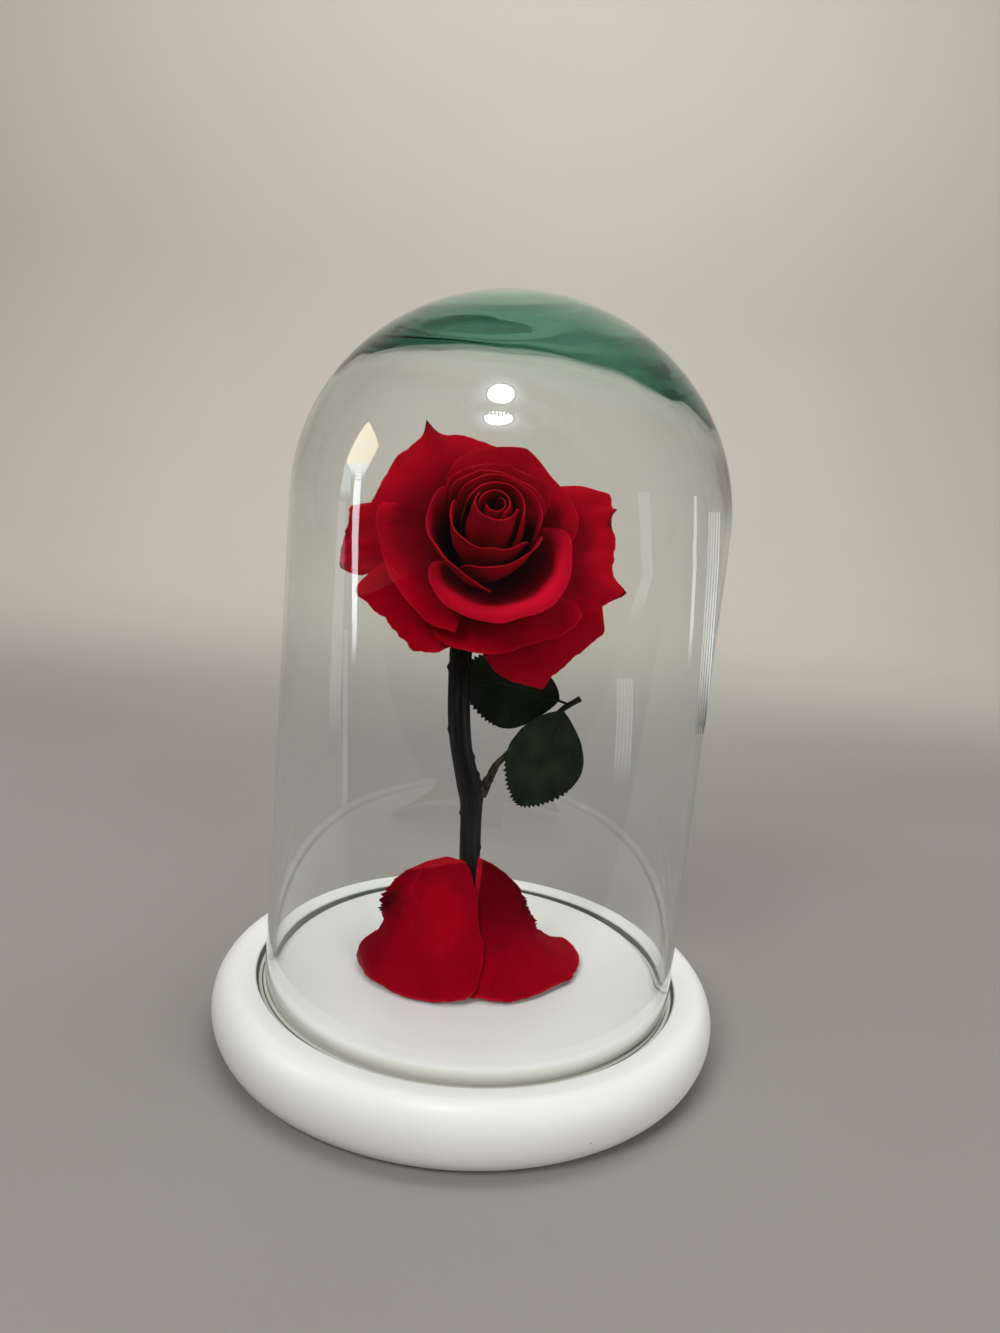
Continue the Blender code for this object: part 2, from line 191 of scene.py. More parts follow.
# Leaflets: the middle vein from stalk to point, half widths, where the teeth of each side
# start, how round each side is at the stalk (smaller is rounder), and the vein's bare share
LEAVES = {
    "lower_leaf": dict(
        vein=((26.4, 9.6, 120.6), (21.0, 7.4, 103.4), (12.9, 5.6, 84.6)), across=(0.94, 0.10, -0.33),
        left=14.0, right=15.8, widest=0.52, cup=1.6, teeth=(0.5, 0.5), fullness=(0.55, 0.8)),
    "upper_leaf": dict(
        vein=((27.0, 12.5, 123.3), (5.2, 19.6, 127.4), (-14.4, 25.6, 126.6)), across=(0.12, 0.10, -0.99),
        left=14.0, right=17.0, widest=0.5, cup=2.0, teeth=(0.2, 0.4), fullness=(0.5, 0.8), stalk=0.065),
}
LEAF_COLUMNS = 30
LEAF_ROWS = 220
TEETH = 24
TOOTH_DEPTH = 2.2

# Fallen petals: rows from the top of each petal down to where it lies, each from the
# middle crease outwards
FALLEN_PETALS = {
    "fallen_petal_left": (
        ((-4.6, -6.8, 66.6), (-9.0, -7.4, 68.8), (-15.5, -7.0, 68.0),
         (-22.0, -6.0, 64.4), (-27.0, -4.5, 60.0)),
        ((0.9, -9.0, 56.5), (-8.0, -10.0, 57.0), (-17.0, -9.0, 56.0),
         (-27.0, -7.0, 53.0), (-36.0, -4.5, 48.5)),
        ((3.0, -13.4, 44.5), (-7.0, -15.0, 44.0), (-18.0, -13.8, 43.5),
         (-27.5, -9.0, 42.0), (-35.0, -3.0, 41.0)),
        ((6.6, -21.6, 34.0), (-7.0, -24.0, 32.6), (-21.0, -21.0, 31.0),
         (-32.0, -12.5, 31.0), (-37.5, -1.0, 33.0)),
        ((8.6, -33.4, 25.2), (-6.0, -34.6, 24.8), (-25.0, -30.5, 24.2),
         (-39.0, -19.0, 24.2), (-44.6, 4.0, 25.0)),
    ),
    "fallen_petal_right": (
        ((-0.4, -4.8, 68.0), (3.2, -5.2, 67.0), (7.2, -4.4, 63.8),
         (11.5, -3.4, 59.8), (15.5, -2.4, 55.5)),
        ((-0.6, -7.2, 58.0), (5.6, -7.6, 56.4), (11.4, -6.4, 53.8),
         (16.6, -4.4, 51.2), (20.6, -1.6, 48.2)),
        ((0.6, -11.2, 45.5), (8.6, -11.4, 43.6), (15.6, -8.8, 42.0),
         (20.8, -4.4, 41.0), (24.2, 1.4, 39.5)),
        ((3.2, -18.6, 34.5), (12.4, -18.4, 32.5), (21.6, -13.6, 31.5),
         (28.0, -5.0, 31.0), (29.4, 7.5, 31.5)),
        ((1.0, -31.6, 24.2), (16.0, -31.6, 24.2), (33.0, -20.0, 24.2),
         (44.4, -3.0, 24.2), (38.5, 24.5, 25.0)),
    ),
}
FALLEN_CELLS = 110

# Where each edge of a fallen petal is torn in: (share of the edge, millimetres) from the crest
# or the crease onwards, with straight lines between
FALLEN_EDGES = {
    "fallen_petal_left": dict(
        top=((0, 1.4), (0.2, 2.2), (0.35, 1.6), (0.5, 2.3), (0.65, 2.4), (0.75, 2.8), (0.84, 2.7),
            (0.88, 2.2), (1, 1.9)),
        outer=((0, 1.8), (0.05, 2.5), (0.1, 2.2), (0.14, 1.8), (0.17, 2.4), (0.24, 2.3), (0.27, 2.7),
            (0.3, 2.1), (0.36, 1.8), (0.4, 1.2), (0.45, 1.5), (0.52, 2.2), (0.57, 2.9), (0.64, 2.5),
            (0.69, 2.4), (0.73, 1.4), (0.8, 0.9), (0.88, 1.2), (0.94, 1.8), (1, 4.0)),
        below=((0, 6.0), (0.05, 3.0), (0.1, 1.9), (0.2, 1.2), (0.28, 0.4), (0.4, 0.4), (0.5, 1.3),
            (0.6, 2.1), (0.72, 2.3), (0.8, 2.5), (0.86, 1.8), (0.93, 1.3), (1, 3.4)),
        crease=((0, 0.8), (0.1, 0.7), (0.2, 1.5), (0.3, 1.3), (0.4, 1.0), (0.52, 1.0), (0.56, 0.9),
            (0.61, 0.3), (0.66, 0.4), (0.7, 1.2), (0.8, 2.2), (0.9, 3.9), (1, 4.5))),
    "fallen_petal_right": dict(
        top=((0, 0.8), (0.25, 1.3), (0.5, 1.2), (0.62, 0.7), (0.65, 1.4), (0.8, 1.2), (1, 1.6)),
        outer=((0, 1.8), (0.03, 1.2), (0.06, 1.7), (0.1, 0.9), (0.14, 0.4), (0.16, 1.1), (0.2, 1.1),
            (0.24, 1.7), (0.3, 1.1), (0.32, 1.6), (0.38, 1.0), (0.42, 1.3), (0.5, 1.1), (0.54, 1.7),
            (0.58, 0.8), (0.6, 0.2), (0.65, -0.6), (0.7, -1.2), (0.75, -1.6), (0.8, -1.5), (0.86, -1.0),
            (0.91, -0.2), (0.95, 0.6), (1, 3.2)),
        below=((0, 2.0), (0.25, 1.8), (0.35, 1.9), (0.45, 2.6), (0.55, 3.2), (0.65, 3.0), (0.7, 4.3),
            (0.76, 4.3), (0.8, 3.8), (0.86, 2.0), (0.9, 0.7), (0.95, 0.9), (1, 3.0)),
        crease=((0, 0.0), (1, 0.0))),
}

TURN_STEPS = 144


def size(name, description, default):
    """A size property, in metres."""
    return bpy.props.FloatProperty(name=name, description=description, default=default, unit="LENGTH")


class RoseSizes(bpy.types.PropertyGroup):
    """The sizes that a user would change."""

    base_radius: size("Base radius", "Half the width of the round base", 0.0923)
    base_height: size("Base height", "Height of the base at its outer edge", 0.023)
    plateau_top: size("Plateau top", "Height of the raised middle of the base", 0.0235)
    dome_radius: size("Dome radius", "Half the outer width of the glass dome", 0.075)
    dome_wall: size("Glass wall", "Thickness of the dome's upright wall", 0.0022)
    dome_top: size("Dome top", "Height of the top of the glass", 0.2643)
    petal_thickness: size("Petal thickness", "Thickness of a petal", 0.0004)
    leaf_thickness: size("Leaf thickness", "Thickness of a leaflet", 0.0004)


def colour(name, description, default):
    """A colour property."""
    return bpy.props.FloatVectorProperty(
        name=name, description=description, default=default, size=3, min=0.0, max=1.0, subtype="COLOR")


def dimmed(shade, factor):
    """A colour made darker or lighter."""
    return [part * factor for part in shade]


class RoseColours(bpy.types.PropertyGroup):
    """The colours that a user would change."""

    petal: colour("Petal", "The fresh crimson of the petals", (0.41, 0.001, 0.011))
    # Deep red for veins and mottling, and also painted shade towards each petal's foot and on the fallen
    # petals
    petal_deep_and_shade: colour("Petal shade", "The petal's colour towards its foot", (0.12, 0.0004, 0.005))
    # Painted highlight: the brightened red on the broad rolled rim
    petal_painted_highlight: colour("Fresh petal", "The brightest red, on the broad rolled rim", (0.74, 0.006, 0.035))
    petal_rim: colour("Petal rim", "The thin pale line on a petal's edge", (0.64, 0.015, 0.03))
    # Also used for painted shade under a few torn, rolled strips
    petal_dry_and_shade: colour("Dry petal", "Dried and browned places on the petals", (0.05, 0.003, 0.006))
    stem: colour("Stem", "The dyed bark of the stem", (0.014, 0.0145, 0.0155))
    twig: colour("Twig", "The bare bark of the leaf twig", (0.045, 0.042, 0.022))
    leaf: colour("Leaf", "The upper side of the leaflets", (0.017, 0.028, 0.014))
    paint: colour("Base paint", "The white satin paint of the base", (0.88, 0.885, 0.875))
    glass: colour("Glass", "The tint that thick glass takes", (0.13, 0.60, 0.42))
    floor: colour("Floor", "The pale floor under the object", (0.28, 0.267, 0.245))
    wall: colour("Wall", "The pale wall behind the object", (0.58, 0.545, 0.49))


class Value:
    """One output of a node. Python's operators on it add Math nodes to its material."""

    def __init__(self, finish, socket):
        self.finish = finish
        self.socket = socket

    def math(self, operation, *others, clamp=False):
        values = dict(enumerate((self, *others)))
        return self.finish.node("ShaderNodeMath", dict(operation=operation, use_clamp=clamp), values)

    def __add__(self, other):
        return self.math("ADD", other)

    def __sub__(self, other):
        return self.math("SUBTRACT", other)

    def __rsub__(self, other):
        return self.math("MULTIPLY_ADD", -1.0, other)

    def __mul__(self, other):
        return self.math("MULTIPLY", other)

    def __pow__(self, other):
        return self.math("POWER", other)

    def __gt__(self, other):
        return self.math("GREATER_THAN", other)

    __radd__ = __add__
    __rmul__ = __mul__

    def clamped(self):
        return self.math("ADD", 0.0, clamp=True)

    def ramp(self, low, high):
        """0 at low, 1 at high and smooth between. Low may be the larger."""
        return self.finish.node(
            "ShaderNodeMapRange", dict(interpolation_type="SMOOTHSTEP"),
            {"Value": self, "From Min": low, "From Max": high})


class Finish:
    """A material or world, and the one way in which nodes are added to it."""

    def __init__(self, name, kind="materials", shader="Principled BSDF"):
        self.material = getattr(bpy.data, kind).new(name)
        self.material.use_nodes = True
        self.tree = self.material.node_tree
        self.shader = self.tree.nodes[shader]
        self.colours = bpy.context.scene.rose_colours

    def node(self, kind, settings=None, values=None, output=0):
        """Adds a node, sets it, fills its sockets with values or links, and gives one output."""
        made = self.tree.nodes.new(kind)
        for key, setting in (settings or {}).items():
            setattr(made, key, setting)
        for key, value in (values or {}).items():
            self.fill(made.inputs[key], value)
        return Value(self, made.outputs[output])

    def fill(self, socket, value):
        if isinstance(value, Value):
            self.tree.links.new(value.socket, socket)
        elif hasattr(value, "__len__"):
            socket.default_value = (*value, 1.0)[:len(socket.default_value)]
        else:
            socket.default_value = value

    def mix(self, factor, first, second):
        """A colour between two colours."""
        return self.node("ShaderNodeMix", dict(data_type="RGBA"), {0: factor, 6: first, 7: second}, 2)

    def place(self, scale=(1.0, 1.0, 1.0), by="Object"):
        """Coordinates on the piece, stretched by scale: Object, or the piece's own UV map."""
        return self.node("ShaderNodeMapping", None, {
            "Vector": self.node("ShaderNodeTexCoord", output=by), "Scale": scale})

    def part(self, vector, axis):
        """The x (0), y (1) or z (2) of a vector."""
        return self.node("ShaderNodeSeparateXYZ", None, {0: vector}, axis)

    def noise(self, place, scale, detail=4.0, roughness=0.55, distortion=0.0):
        return self.node("ShaderNodeTexNoise", None, {
            "Vector": place, "Scale": scale, "Detail": detail, "Roughness": roughness,
            "Distortion": distortion})

    def grain(self, across, along, *settings):
        """Noise that is stretched along the piece by its own UV map."""
        return self.noise(self.place((across, along, 1.0), "UV"), 1.0, *settings)

    def noted(self, name):
        """A number that was noted for each point of the piece."""
        return self.node("ShaderNodeAttribute", dict(attribute_name=name), output=2)

    def along(self, axis):
        """The piece's own U (0) or V (1)."""
        return self.part(self.node("ShaderNodeTexCoord", output="UV"), axis)

    def rays(self, name):
        """What is known of the ray that arrives."""
        return self.node("ShaderNodeLightPath", output=name)

    def relief(self, height, distance, strength=1.0, under=None):
        """Small relief from a height between 0 and 1, distance in metres."""
        values = {"Height": height, "Distance": distance, "Strength": strength}
        return self.node("ShaderNodeBump", None, values if under is None else {**values, "Normal": under})

    def set(self, **sockets):
        """Fills the shader's sockets, named with _ for a space."""
        for key, value in sockets.items():
            self.fill(self.shader.inputs[key.replace("_", " ")], value)
        return self.material


def base_paint():
    """White satin paint on a turned board: faint cloudiness, orange peel and a few specks, with painted
    shade over the rounded shoulder and the groove, and thin painted shadow lines in its corners.
    """
    finish = Finish("white satin paint")
    colours = finish.colours
    place = finish.place()
    cloud = finish.noise(place, 18.0, 3.0)
    white = finish.mix(cloud.ramp(0.3, 0.7), dimmed(colours.paint, 0.97), colours.paint)
    spots = finish.node("ShaderNodeTexVoronoi", None, {"Vector": place, "Scale": 95.0, "Randomness": 1.0})
    rare = finish.noise(place, 33.0, 0.0).ramp(0.62, 0.66)
    speck = spots.ramp(0.055, 0.035) * rare
    white = finish.mix(speck * 0.55, white, (0.25, 0.23, 0.2))
    across, back, height = (finish.part(place, axis) for axis in range(3))
    radius = (across * across + back * back).math("SQRT")
    groove = radius.ramp(0.0682, 0.0708) * radius.ramp(0.0781, 0.0774)
    # Painted shade: the rounded shoulder and the groove are coloured darker and yellower
    white = finish.mix(groove, white, GROOVE_PAINTED_SHADE)
    # Painted shadow: thin dark lines low on the lip's inner wall, at the plateau's foot and round the
    # dome's foot
    corners = radius.ramp(0.0728, 0.0724) + radius.ramp(0.0749, 0.0751) * radius.ramp(0.0756, 0.0754)
    slit = radius.ramp(0.0764, 0.0767) * height.ramp(0.0217, 0.02145)
    white = finish.mix(groove * slit, white, GROOVE_PAINTED_SHADOW)
    white = finish.mix(groove * corners * height.ramp(0.0202, 0.0198), white, GROOVE_PAINTED_SHADOW)
    peel = finish.noise(place, 900.0, 2.0)
    sweep = finish.noise(place, 60.0, 2.0)
    return finish.set(
        Base_Color=white, Roughness=0.34 + 0.1 * cloud + 0.3 * groove, Coat_Weight=0.12,
        Coat_Roughness=0.25, Normal=finish.relief(peel + 3.0 * sweep, 0.00002))


def dome_glass():
    """Clear glass that turns green where light has a long way through it."""
    finish = Finish("clear blown glass")
    colours = finish.colours
    wave = finish.noise(finish.place((1.0, 1.0, 0.35)), 26.0, 1.0)
    streak = finish.noise(finish.place((1.0, 1.0, 0.02)), 120.0, 2.0)
    body = finish.node("ShaderNodeVolumeAbsorption", None, {
        "Color": colours.glass, "Density": GLASS_DENSITY})
    clear = finish.node("ShaderNodeBsdfTransparent", None, {"Color": GLASS_SHADOW})
    surface = Value(finish, finish.shader.outputs[0])
    for name in ("Is Shadow Ray", "Is Diffuse Ray"):
        surface = finish.node("ShaderNodeMixShader", None, {0: finish.rays(name), 1: surface, 2: clear})
    output = finish.tree.nodes["Material Output"]
    finish.fill(output.inputs["Surface"], surface)
    finish.fill(output.inputs["Volume"], body)
    return finish.set(
        Base_Color=(1.0, 1.0, 1.0), Roughness=0.0, IOR=1.5, Transmission_Weight=1.0,
        Normal=finish.relief(wave + streak * 0.08, 0.00012))


def petal_skin(name, fallen=False):
    """Velvety crimson: fine veins that fan out, a pale rim line and browned places, with painted shade
    towards each petal's foot, on the fallen petals and under a few rolled strips, and a painted highlight
    on the broad rolled rim.
    """
    finish = Finish(name)
    colours = finish.colours
    veins = finish.grain(46.0, 2.2, 3.0, 0.6, 0.6)
    fine = finish.grain(150.0, 9.0, 2.0)
    place = finish.place()
    mottle = finish.noise(place, 90.0, 4.0)
    velvet = finish.noise(place, 2600.0, 2.0)
    if fallen:
        # Painted shade and light on the fallen petals: the noted shade darkens them
        red = finish.mix(finish.noted("shade").clamped(), colours.petal, colours.petal_deep_and_shade)
        red = finish.mix(finish.noted("fold").clamped() * 0.75, red, colours.petal_rim)
    else:
        # Painted shade: each petal darkens towards its foot, deep inside the bloom
        red = finish.mix(finish.along(1).ramp(0.1, 0.85), colours.petal_deep_and_shade, colours.petal)
    red = finish.mix(mottle.ramp(0.35, 0.75) * 0.28, red, colours.petal_deep_and_shade)
    red = finish.mix(veins.ramp(0.52, 0.72) * 0.16, red, colours.petal_deep_and_shade)
    # Browned places, and a few spots of painted shade under rolled strips
    dry_and_shade = finish.noted("dry_and_shade")
    parched_and_shaded = (dry_and_shade + (mottle - 0.5) * 0.9 * dry_and_shade).ramp(0.25, 0.85)
    red = finish.mix(parched_and_shaded, red, colours.petal_dry_and_shade)
    worn = finish.noise(place, 120.0, 1.0).ramp(0.4, 0.65)
    rim = finish.noted("edge_mm").ramp(1.1, 0.05) * (0.2 + 0.8 * worn)
    red = finish.mix(rim * (0.42 - 0.4 * parched_and_shaded).clamped(), red, colours.petal_rim)
    skin = veins * 0.5 + fine * 0.35 + mottle * 0.6 + dry_and_shade * mottle * 3.0
    if not fallen:
        # Painted highlight on the broad rolled rim
        red = finish.mix(finish.noted("painted_highlight"), red, colours.petal_painted_highlight)
    return finish.set(
        Base_Color=red, Roughness=0.55 + 0.2 * mottle, Sheen_Weight=0.04, Sheen_Roughness=0.4,
        Sheen_Tint=(1.0, 0.06, 0.10), Specular_IOR_Level=0.05,
        Normal=finish.relief(velvet, 0.00004, 0.5, finish.relief(skin, 0.00035)))


def leaf_skin():
    """Very dark green satin with a midrib, side veins and a fine net."""
    finish = Finish("dark green leaf")
    colours = finish.colours
    side = (finish.along(0) - 0.5).math("ABSOLUTE")
    along = finish.along(1)
    midrib = side.ramp(0.02, 0.004)
    slant = (along - side * 0.55) * 11.0
    ribs = slant.math("PINGPONG", 0.5).ramp(0.07, 0.0) * side.ramp(0.5, 0.1)
    place = finish.place()
    net = finish.node("ShaderNodeTexVoronoi", dict(feature="DISTANCE_TO_EDGE"),
                      {"Vector": place, "Scale": 620.0}).ramp(0.12, 0.0)
    cloud = finish.noise(place, 70.0, 4.0)
    green = finish.mix(cloud.ramp(0.3, 0.75), dimmed(colours.leaf, 0.6), dimmed(colours.leaf, 1.5))
    green = finish.mix(midrib * 0.4 + ribs * 0.08, green, (0.025, 0.045, 0.028))
    height = midrib * -1.4 - ribs * 0.45 - net * 0.08 + cloud * 0.8
    return finish.set(
        Base_Color=green, Roughness=0.4 + 0.16 * cloud, Specular_IOR_Level=0.18,
        Normal=finish.relief(height, 0.0004))


def stem_bark():
    """Charcoal satin bark with lengthwise ridges and pale scuffs."""
    finish = Finish("dark dyed stem")
    colours = finish.colours
    long = finish.grain(9.0, 2.6, 5.0, 0.6, 0.3)
    fibre = finish.grain(46.0, 7.0, 3.0)
    place = finish.place()
    scuff = finish.noise(place, 160.0, 5.0, 0.7)
    dark = finish.mix(long.ramp(0.35, 0.7), dimmed(colours.stem, 0.55), dimmed(colours.stem, 2.2))
    dark = finish.mix(scuff.ramp(0.62, 0.75) * 0.25, dark, (0.06, 0.06, 0.062))
    return finish.set(
        Base_Color=dark, Roughness=0.38 + 0.3 * fibre, Specular_IOR_Level=0.22,
        Normal=finish.relief(long * 1.6 + fibre * 0.7 + scuff * 0.4, 0.0007))


def twig_bark():
    """Rough olive brown bark, frayed lengthwise."""
    finish = Finish("olive brown twig")
    colours = finish.colours
    fray = finish.grain(8.0, 16.0, 5.0, 0.65, 0.4)
    tone = finish.noise(finish.place(), 260.0, 4.0)
    dark = dimmed(colours.twig, 0.3)
    brown = finish.mix(fray.ramp(0.35, 0.7), dark, dimmed(colours.twig, 1.6))
    brown = finish.mix(tone.ramp(0.5, 0.8) * 0.4, brown, (0.09, 0.07, 0.035))
    tip = finish.along(1).ramp(0.45, 0.7)
    brown = finish.mix(tip * 0.7, brown, (0.010, 0.016, 0.010))
    return finish.set(
        Base_Color=brown, Roughness=0.8 - 0.2 * tone, Normal=finish.relief(fray * 1.5 + tone, 0.0005))


def backdrop_paint():
    """The plain pale floor and wall. In front it is dark for rays that the glass turned back."""
    finish = Finish("pale backdrop")
    colours = finish.colours
    cloud = finish.noise(finish.place(), 3.0, 2.0)
    back = finish.part(finish.place(), 1)
    pale = finish.mix(back.ramp(0.3, 1.0), colours.floor, colours.wall)
    pale = finish.mix(cloud.ramp(0.3, 0.7) * 0.03, pale, (1.0, 1.0, 1.0))
    turned_back = finish.rays("Is Transmission Ray") * finish.rays("Glossy Depth").clamped()
    pale = finish.mix(back.ramp(-0.105, -0.13) * turned_back, pale, (0.01, 0.01, 0.01))
    return finish.set(Base_Color=pale, Roughness=0.7, Specular_IOR_Level=0.0)


def start_piece():
    """Object mode with nothing selected, so that an operator reaches the new piece alone."""
    if bpy.context.mode != "OBJECT":
        bpy.ops.object.mode_set(mode="OBJECT")
    bpy.ops.object.select_all(action="DESELECT")


def close_up(distance=1e-6):
    """Merges the points that met, and turns every face outwards."""
    bpy.ops.object.mode_set(mode="EDIT")
    bpy.ops.mesh.select_all(action="SELECT")
    bpy.ops.mesh.remove_doubles(threshold=distance)
    bpy.ops.mesh.normals_make_consistent(inside=False)
    bpy.ops.object.mode_set(mode="OBJECT")


def finish_piece(piece, name, material, slot, *nodes, angle=40.0):
    """Names a piece, shades it smooth, gives it its finish and stands it in for its nodes."""
    piece.name = name
    piece.data.name = name
    piece.data.materials.clear()
    piece.data.materials.append(material)
    bpy.ops.object.shade_smooth_by_angle(angle=math.radians(angle))
    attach(piece, "root")
    if nodes:
        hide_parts(*nodes)
    return piece


def thicken(thickness):
    """Gives the active sheet its thickness, half to each side."""
    bpy.ops.object.modifier_add(type="SOLIDIFY")
    wall = bpy.context.object.modifiers[-1]
    wall.thickness = thickness
    wall.offset = 0.0
    bpy.ops.object.modifier_apply(modifier=wall.name)


def bent_grid(columns, rows, place):
    """A grid primitive whose points are moved to place(across, along), in millimetres.

    Across runs from -1 to 1 and along from 0 to 1, and so do the U and V of its UV map.
    """
    start_piece()
    bpy.ops.mesh.primitive_grid_add(x_subdivisions=columns, y_subdivisions=rows, size=2.0)
    piece = bpy.context.object
    for vertex in piece.data.vertices:
        vertex.co = place(vertex.co.x, min(max((vertex.co.y + 1.0) / 2.0, 0.0), 1.0)) * MM
    return piece


def note(piece, name, value_at):
    """Notes value_at(across, along) for each point of a bent grid."""
    mesh = piece.data
    values = [0.0] * len(mesh.vertices)
    uv = mesh.uv_layers.active.data
    for loop, corner in zip(mesh.loops, uv):
        values[loop.vertex_index] = value_at(corner.uv.x * 2.0 - 1.0, min(max(corner.uv.y, 0.0), 1.0))
    mesh.attributes.new(name, "FLOAT", "POINT").data.foreach_set("value", values)


def smooth(x):
    """0 before 0, 1 after 1, and a smooth rise between."""
    x = min(max(x, 0.0), 1.0)
    return x * x * (3.0 - 2.0 * x)


def jitter(x, seed, frequency):
    """Smooth noise between about -1 and 1 along a line."""
    return noise.noise(Vector((x * frequency, seed * 7.31, seed * 1.7)))


def turned(profile, steps):
    """A turned piece: a profile drawn by extruding one point, and spun about the upright axis."""
    start_piece()
    bpy.ops.mesh.primitive_plane_add(size=0.001)
    piece = bpy.context.object
    bpy.ops.object.mode_set(mode="EDIT")
    bpy.ops.mesh.select_mode(type="VERT")
    bpy.ops.mesh.select_all(action="SELECT")
    bpy.ops.mesh.merge(type="CENTER")
    here = Vector((0.0, 0.0))
    for i, point in enumerate(profile):
        there = Vector(point) * MM
        step = (there.x - here.x, 0.0, there.y - here.y)
        if i == 0:
            bpy.ops.transform.translate(value=step)
        else:
            bpy.ops.mesh.extrude_vertices_move(TRANSFORM_OT_translate={"value": step})
        here = there
    bpy.ops.mesh.select_all(action="SELECT")
    bpy.ops.mesh.spin(steps=steps, angle=math.tau, center=(0.0, 0.0, 0.0), axis=(0.0, 0.0, 1.0))
    bpy.ops.object.mode_set(mode="OBJECT")
    close_up(2e-6)
    return piece


def arc(centre, radii, start, end, count):
    """Points (radius, height) on part of an ellipse, angles in degrees."""
    points = []
    for i in range(count + 1):
        angle = math.radians(start + (end - start) * i / count)
        points.append((centre[0] + radii[0] * math.cos(angle), centre[1] + radii[1] * math.sin(angle)))
    return points


def base_profile(sizes):
    """The board's outline, from the middle of the top down its outer side to the underside."""
    radius, height, top = sizes.base_radius / MM, sizes.base_height / MM, sizes.plateau_top / MM
    profile = [(0.0, top), (22.0, top), (45.0, top), (60.0, top)]
    drop = top - GROOVE_FLOOR - 1.0
    edge = PLATEAU_RADIUS - PLATEAU_FLAT_RADIUS
    profile += arc((PLATEAU_FLAT_RADIUS, top - drop), (edge, drop), 90, 0, 10)
    far, foot = PLATEAU_RADIUS + GAP_WIDTH, GROOVE_FLOOR - GAP_DEPTH
    profile += [(PLATEAU_RADIUS, foot), (far, foot), (far, GROOVE_FLOOR - 0.2), (far + 0.2, GROOVE_FLOOR)]
    profile += [(GROOVE_LIP_RADIUS - 0.9, GROOVE_FLOOR), (GROOVE_LIP_RADIUS - 0.6, GROOVE_FLOOR + 0.3)]
    profile += arc((GROOVE_LIP_RADIUS + 0.8, GROOVE_LIP_HEIGHT - 0.9), (0.9, 0.9), 180, 90, 5)
    profile += arc((radius - BASE_EDGE_DEPTH, height / 2), (BASE_EDGE_DEPTH, height / 2), 90, -90, 30)
    return profile + [(0.0, 0.0)]


class ROSE_OT_base(bpy.types.Operator):
    """Turns the white base with its groove and raised middle"""

    bl_idname = "rose.base"
    bl_label = "Base"

    def execute(self, context):
        piece = turned(base_profile(context.scene.rose_sizes), TURN_STEPS)
        finish_piece(piece, "white_base", base_paint(), "base_paint", "base", angle=50.0)
        return {"FINISHED"}


def dome_profile(sizes):
    """The glass: down the outside, round the foot, and up the inside."""
    outer = sizes.dome_radius / MM
    inner = outer - sizes.dome_wall / MM
    rise = sizes.dome_top / MM - DOME_SHOULDER
    profile = arc((0.0, DOME_SHOULDER), (outer, rise), 90, 0, 40)
    profile[0] = (0.0, DOME_SHOULDER + rise)
    for i in range(1, 10):
        profile.append((outer, DOME_SHOULDER + (DOME_FOOT + 1.1 - DOME_SHOULDER) * i / 9))
    profile += arc(((outer + inner) / 2, DOME_FOOT + 1.1), ((outer - inner) / 2, 1.1), 0, -180, 10)[1:]
    for i in range(1, 9):
        profile.append((inner, DOME_FOOT + 1.1 + (DOME_SHOULDER - DOME_FOOT - 1.1) * i / 9))
    profile += arc((0.0, DOME_SHOULDER), (inner, rise - THINNEST_CROWN), 0, 90, 48)
    profile[-1] = (0.0, DOME_SHOULDER + rise - THINNEST_CROWN)
    return profile


def crown_reach(x, y, z, sizes):
    """How far the inner face lies from the middle of the shoulder, in this direction."""
    inner = (sizes.dome_radius - sizes.dome_wall) / MM
    rise = sizes.dome_top / MM - DOME_SHOULDER
    length = math.sqrt(x * x + y * y + z * z)
    flat, up = math.hypot(x, y) / length, z / length
    rightness = smooth((x / inner + 0.75) / 1.1)
    power = CROWN_LEFT["power"] + (CROWN_RIGHT["power"] - CROWN_LEFT["power"]) * rightness
    height = CROWN_LEFT["rise"] + (CROWN_RIGHT["rise"] - CROWN_LEFT["rise"]) * rightness
    ripple = noise.noise(Vector((x, y * 0.6, 4.0)) / 30.0) + 0.3 * noise.noise(Vector((x, y, 9.0)) / 11.0)
    height += 0.7 * ripple * smooth(up * 2.0)
    pool = ((flat / inner) ** power + (up / height) ** power) ** (-1.0 / power)
    shell = ((flat / inner) ** 2 + (up / (rise - THINNEST_CROWN)) ** 2) ** -0.5
    meeting = 3.0 * smooth(up * 2.5)
    return shell - 0.5 * (shell - pool + math.hypot(shell - pool, meeting))


class ROSE_OT_dome(bpy.types.Operator):
    """Blows the glass dome with its thick green crown"""

    bl_idname = "rose.dome"
    bl_label = "Glass dome"

    def execute(self, context):
        sizes = context.scene.rose_sizes
        piece = turned(dome_profile(sizes), TURN_STEPS)
        outer = sizes.dome_radius / MM
        rise = sizes.dome_top / MM - DOME_SHOULDER
        for vertex in piece.data.vertices:
            x, y, z = vertex.co / MM
            z -= DOME_SHOULDER
            depth = 1.0 - math.sqrt((math.hypot(x, y) / outer) ** 2 + (z / rise) ** 2) if z > 0.01 else 0.0
            if depth > 0.008:
                reach = crown_reach(x, y, z, sizes) / math.sqrt(x * x + y * y + z * z)
                x, y, z = x * reach, y * reach, z * reach
            vertex.co = Vector((x + DOME_OFFSET, y, z + DOME_SHOULDER)) * MM
        finish_piece(piece, "clear_dome", dome_glass(), "dome_glass", "glass_dome", angle=60.0)
        return {"FINISHED"}


def bloom_axes():
    """The bloom's own right, up and forward directions."""
    lift, turn = math.radians(BLOOM_LIFT), math.radians(BLOOM_TURN)
    forward = Vector((math.sin(turn) * math.cos(lift), -math.cos(turn) * math.cos(lift), math.sin(lift)))
    right = Vector((math.cos(turn), math.sin(turn), 0.0))
    return right, forward.cross(right), forward


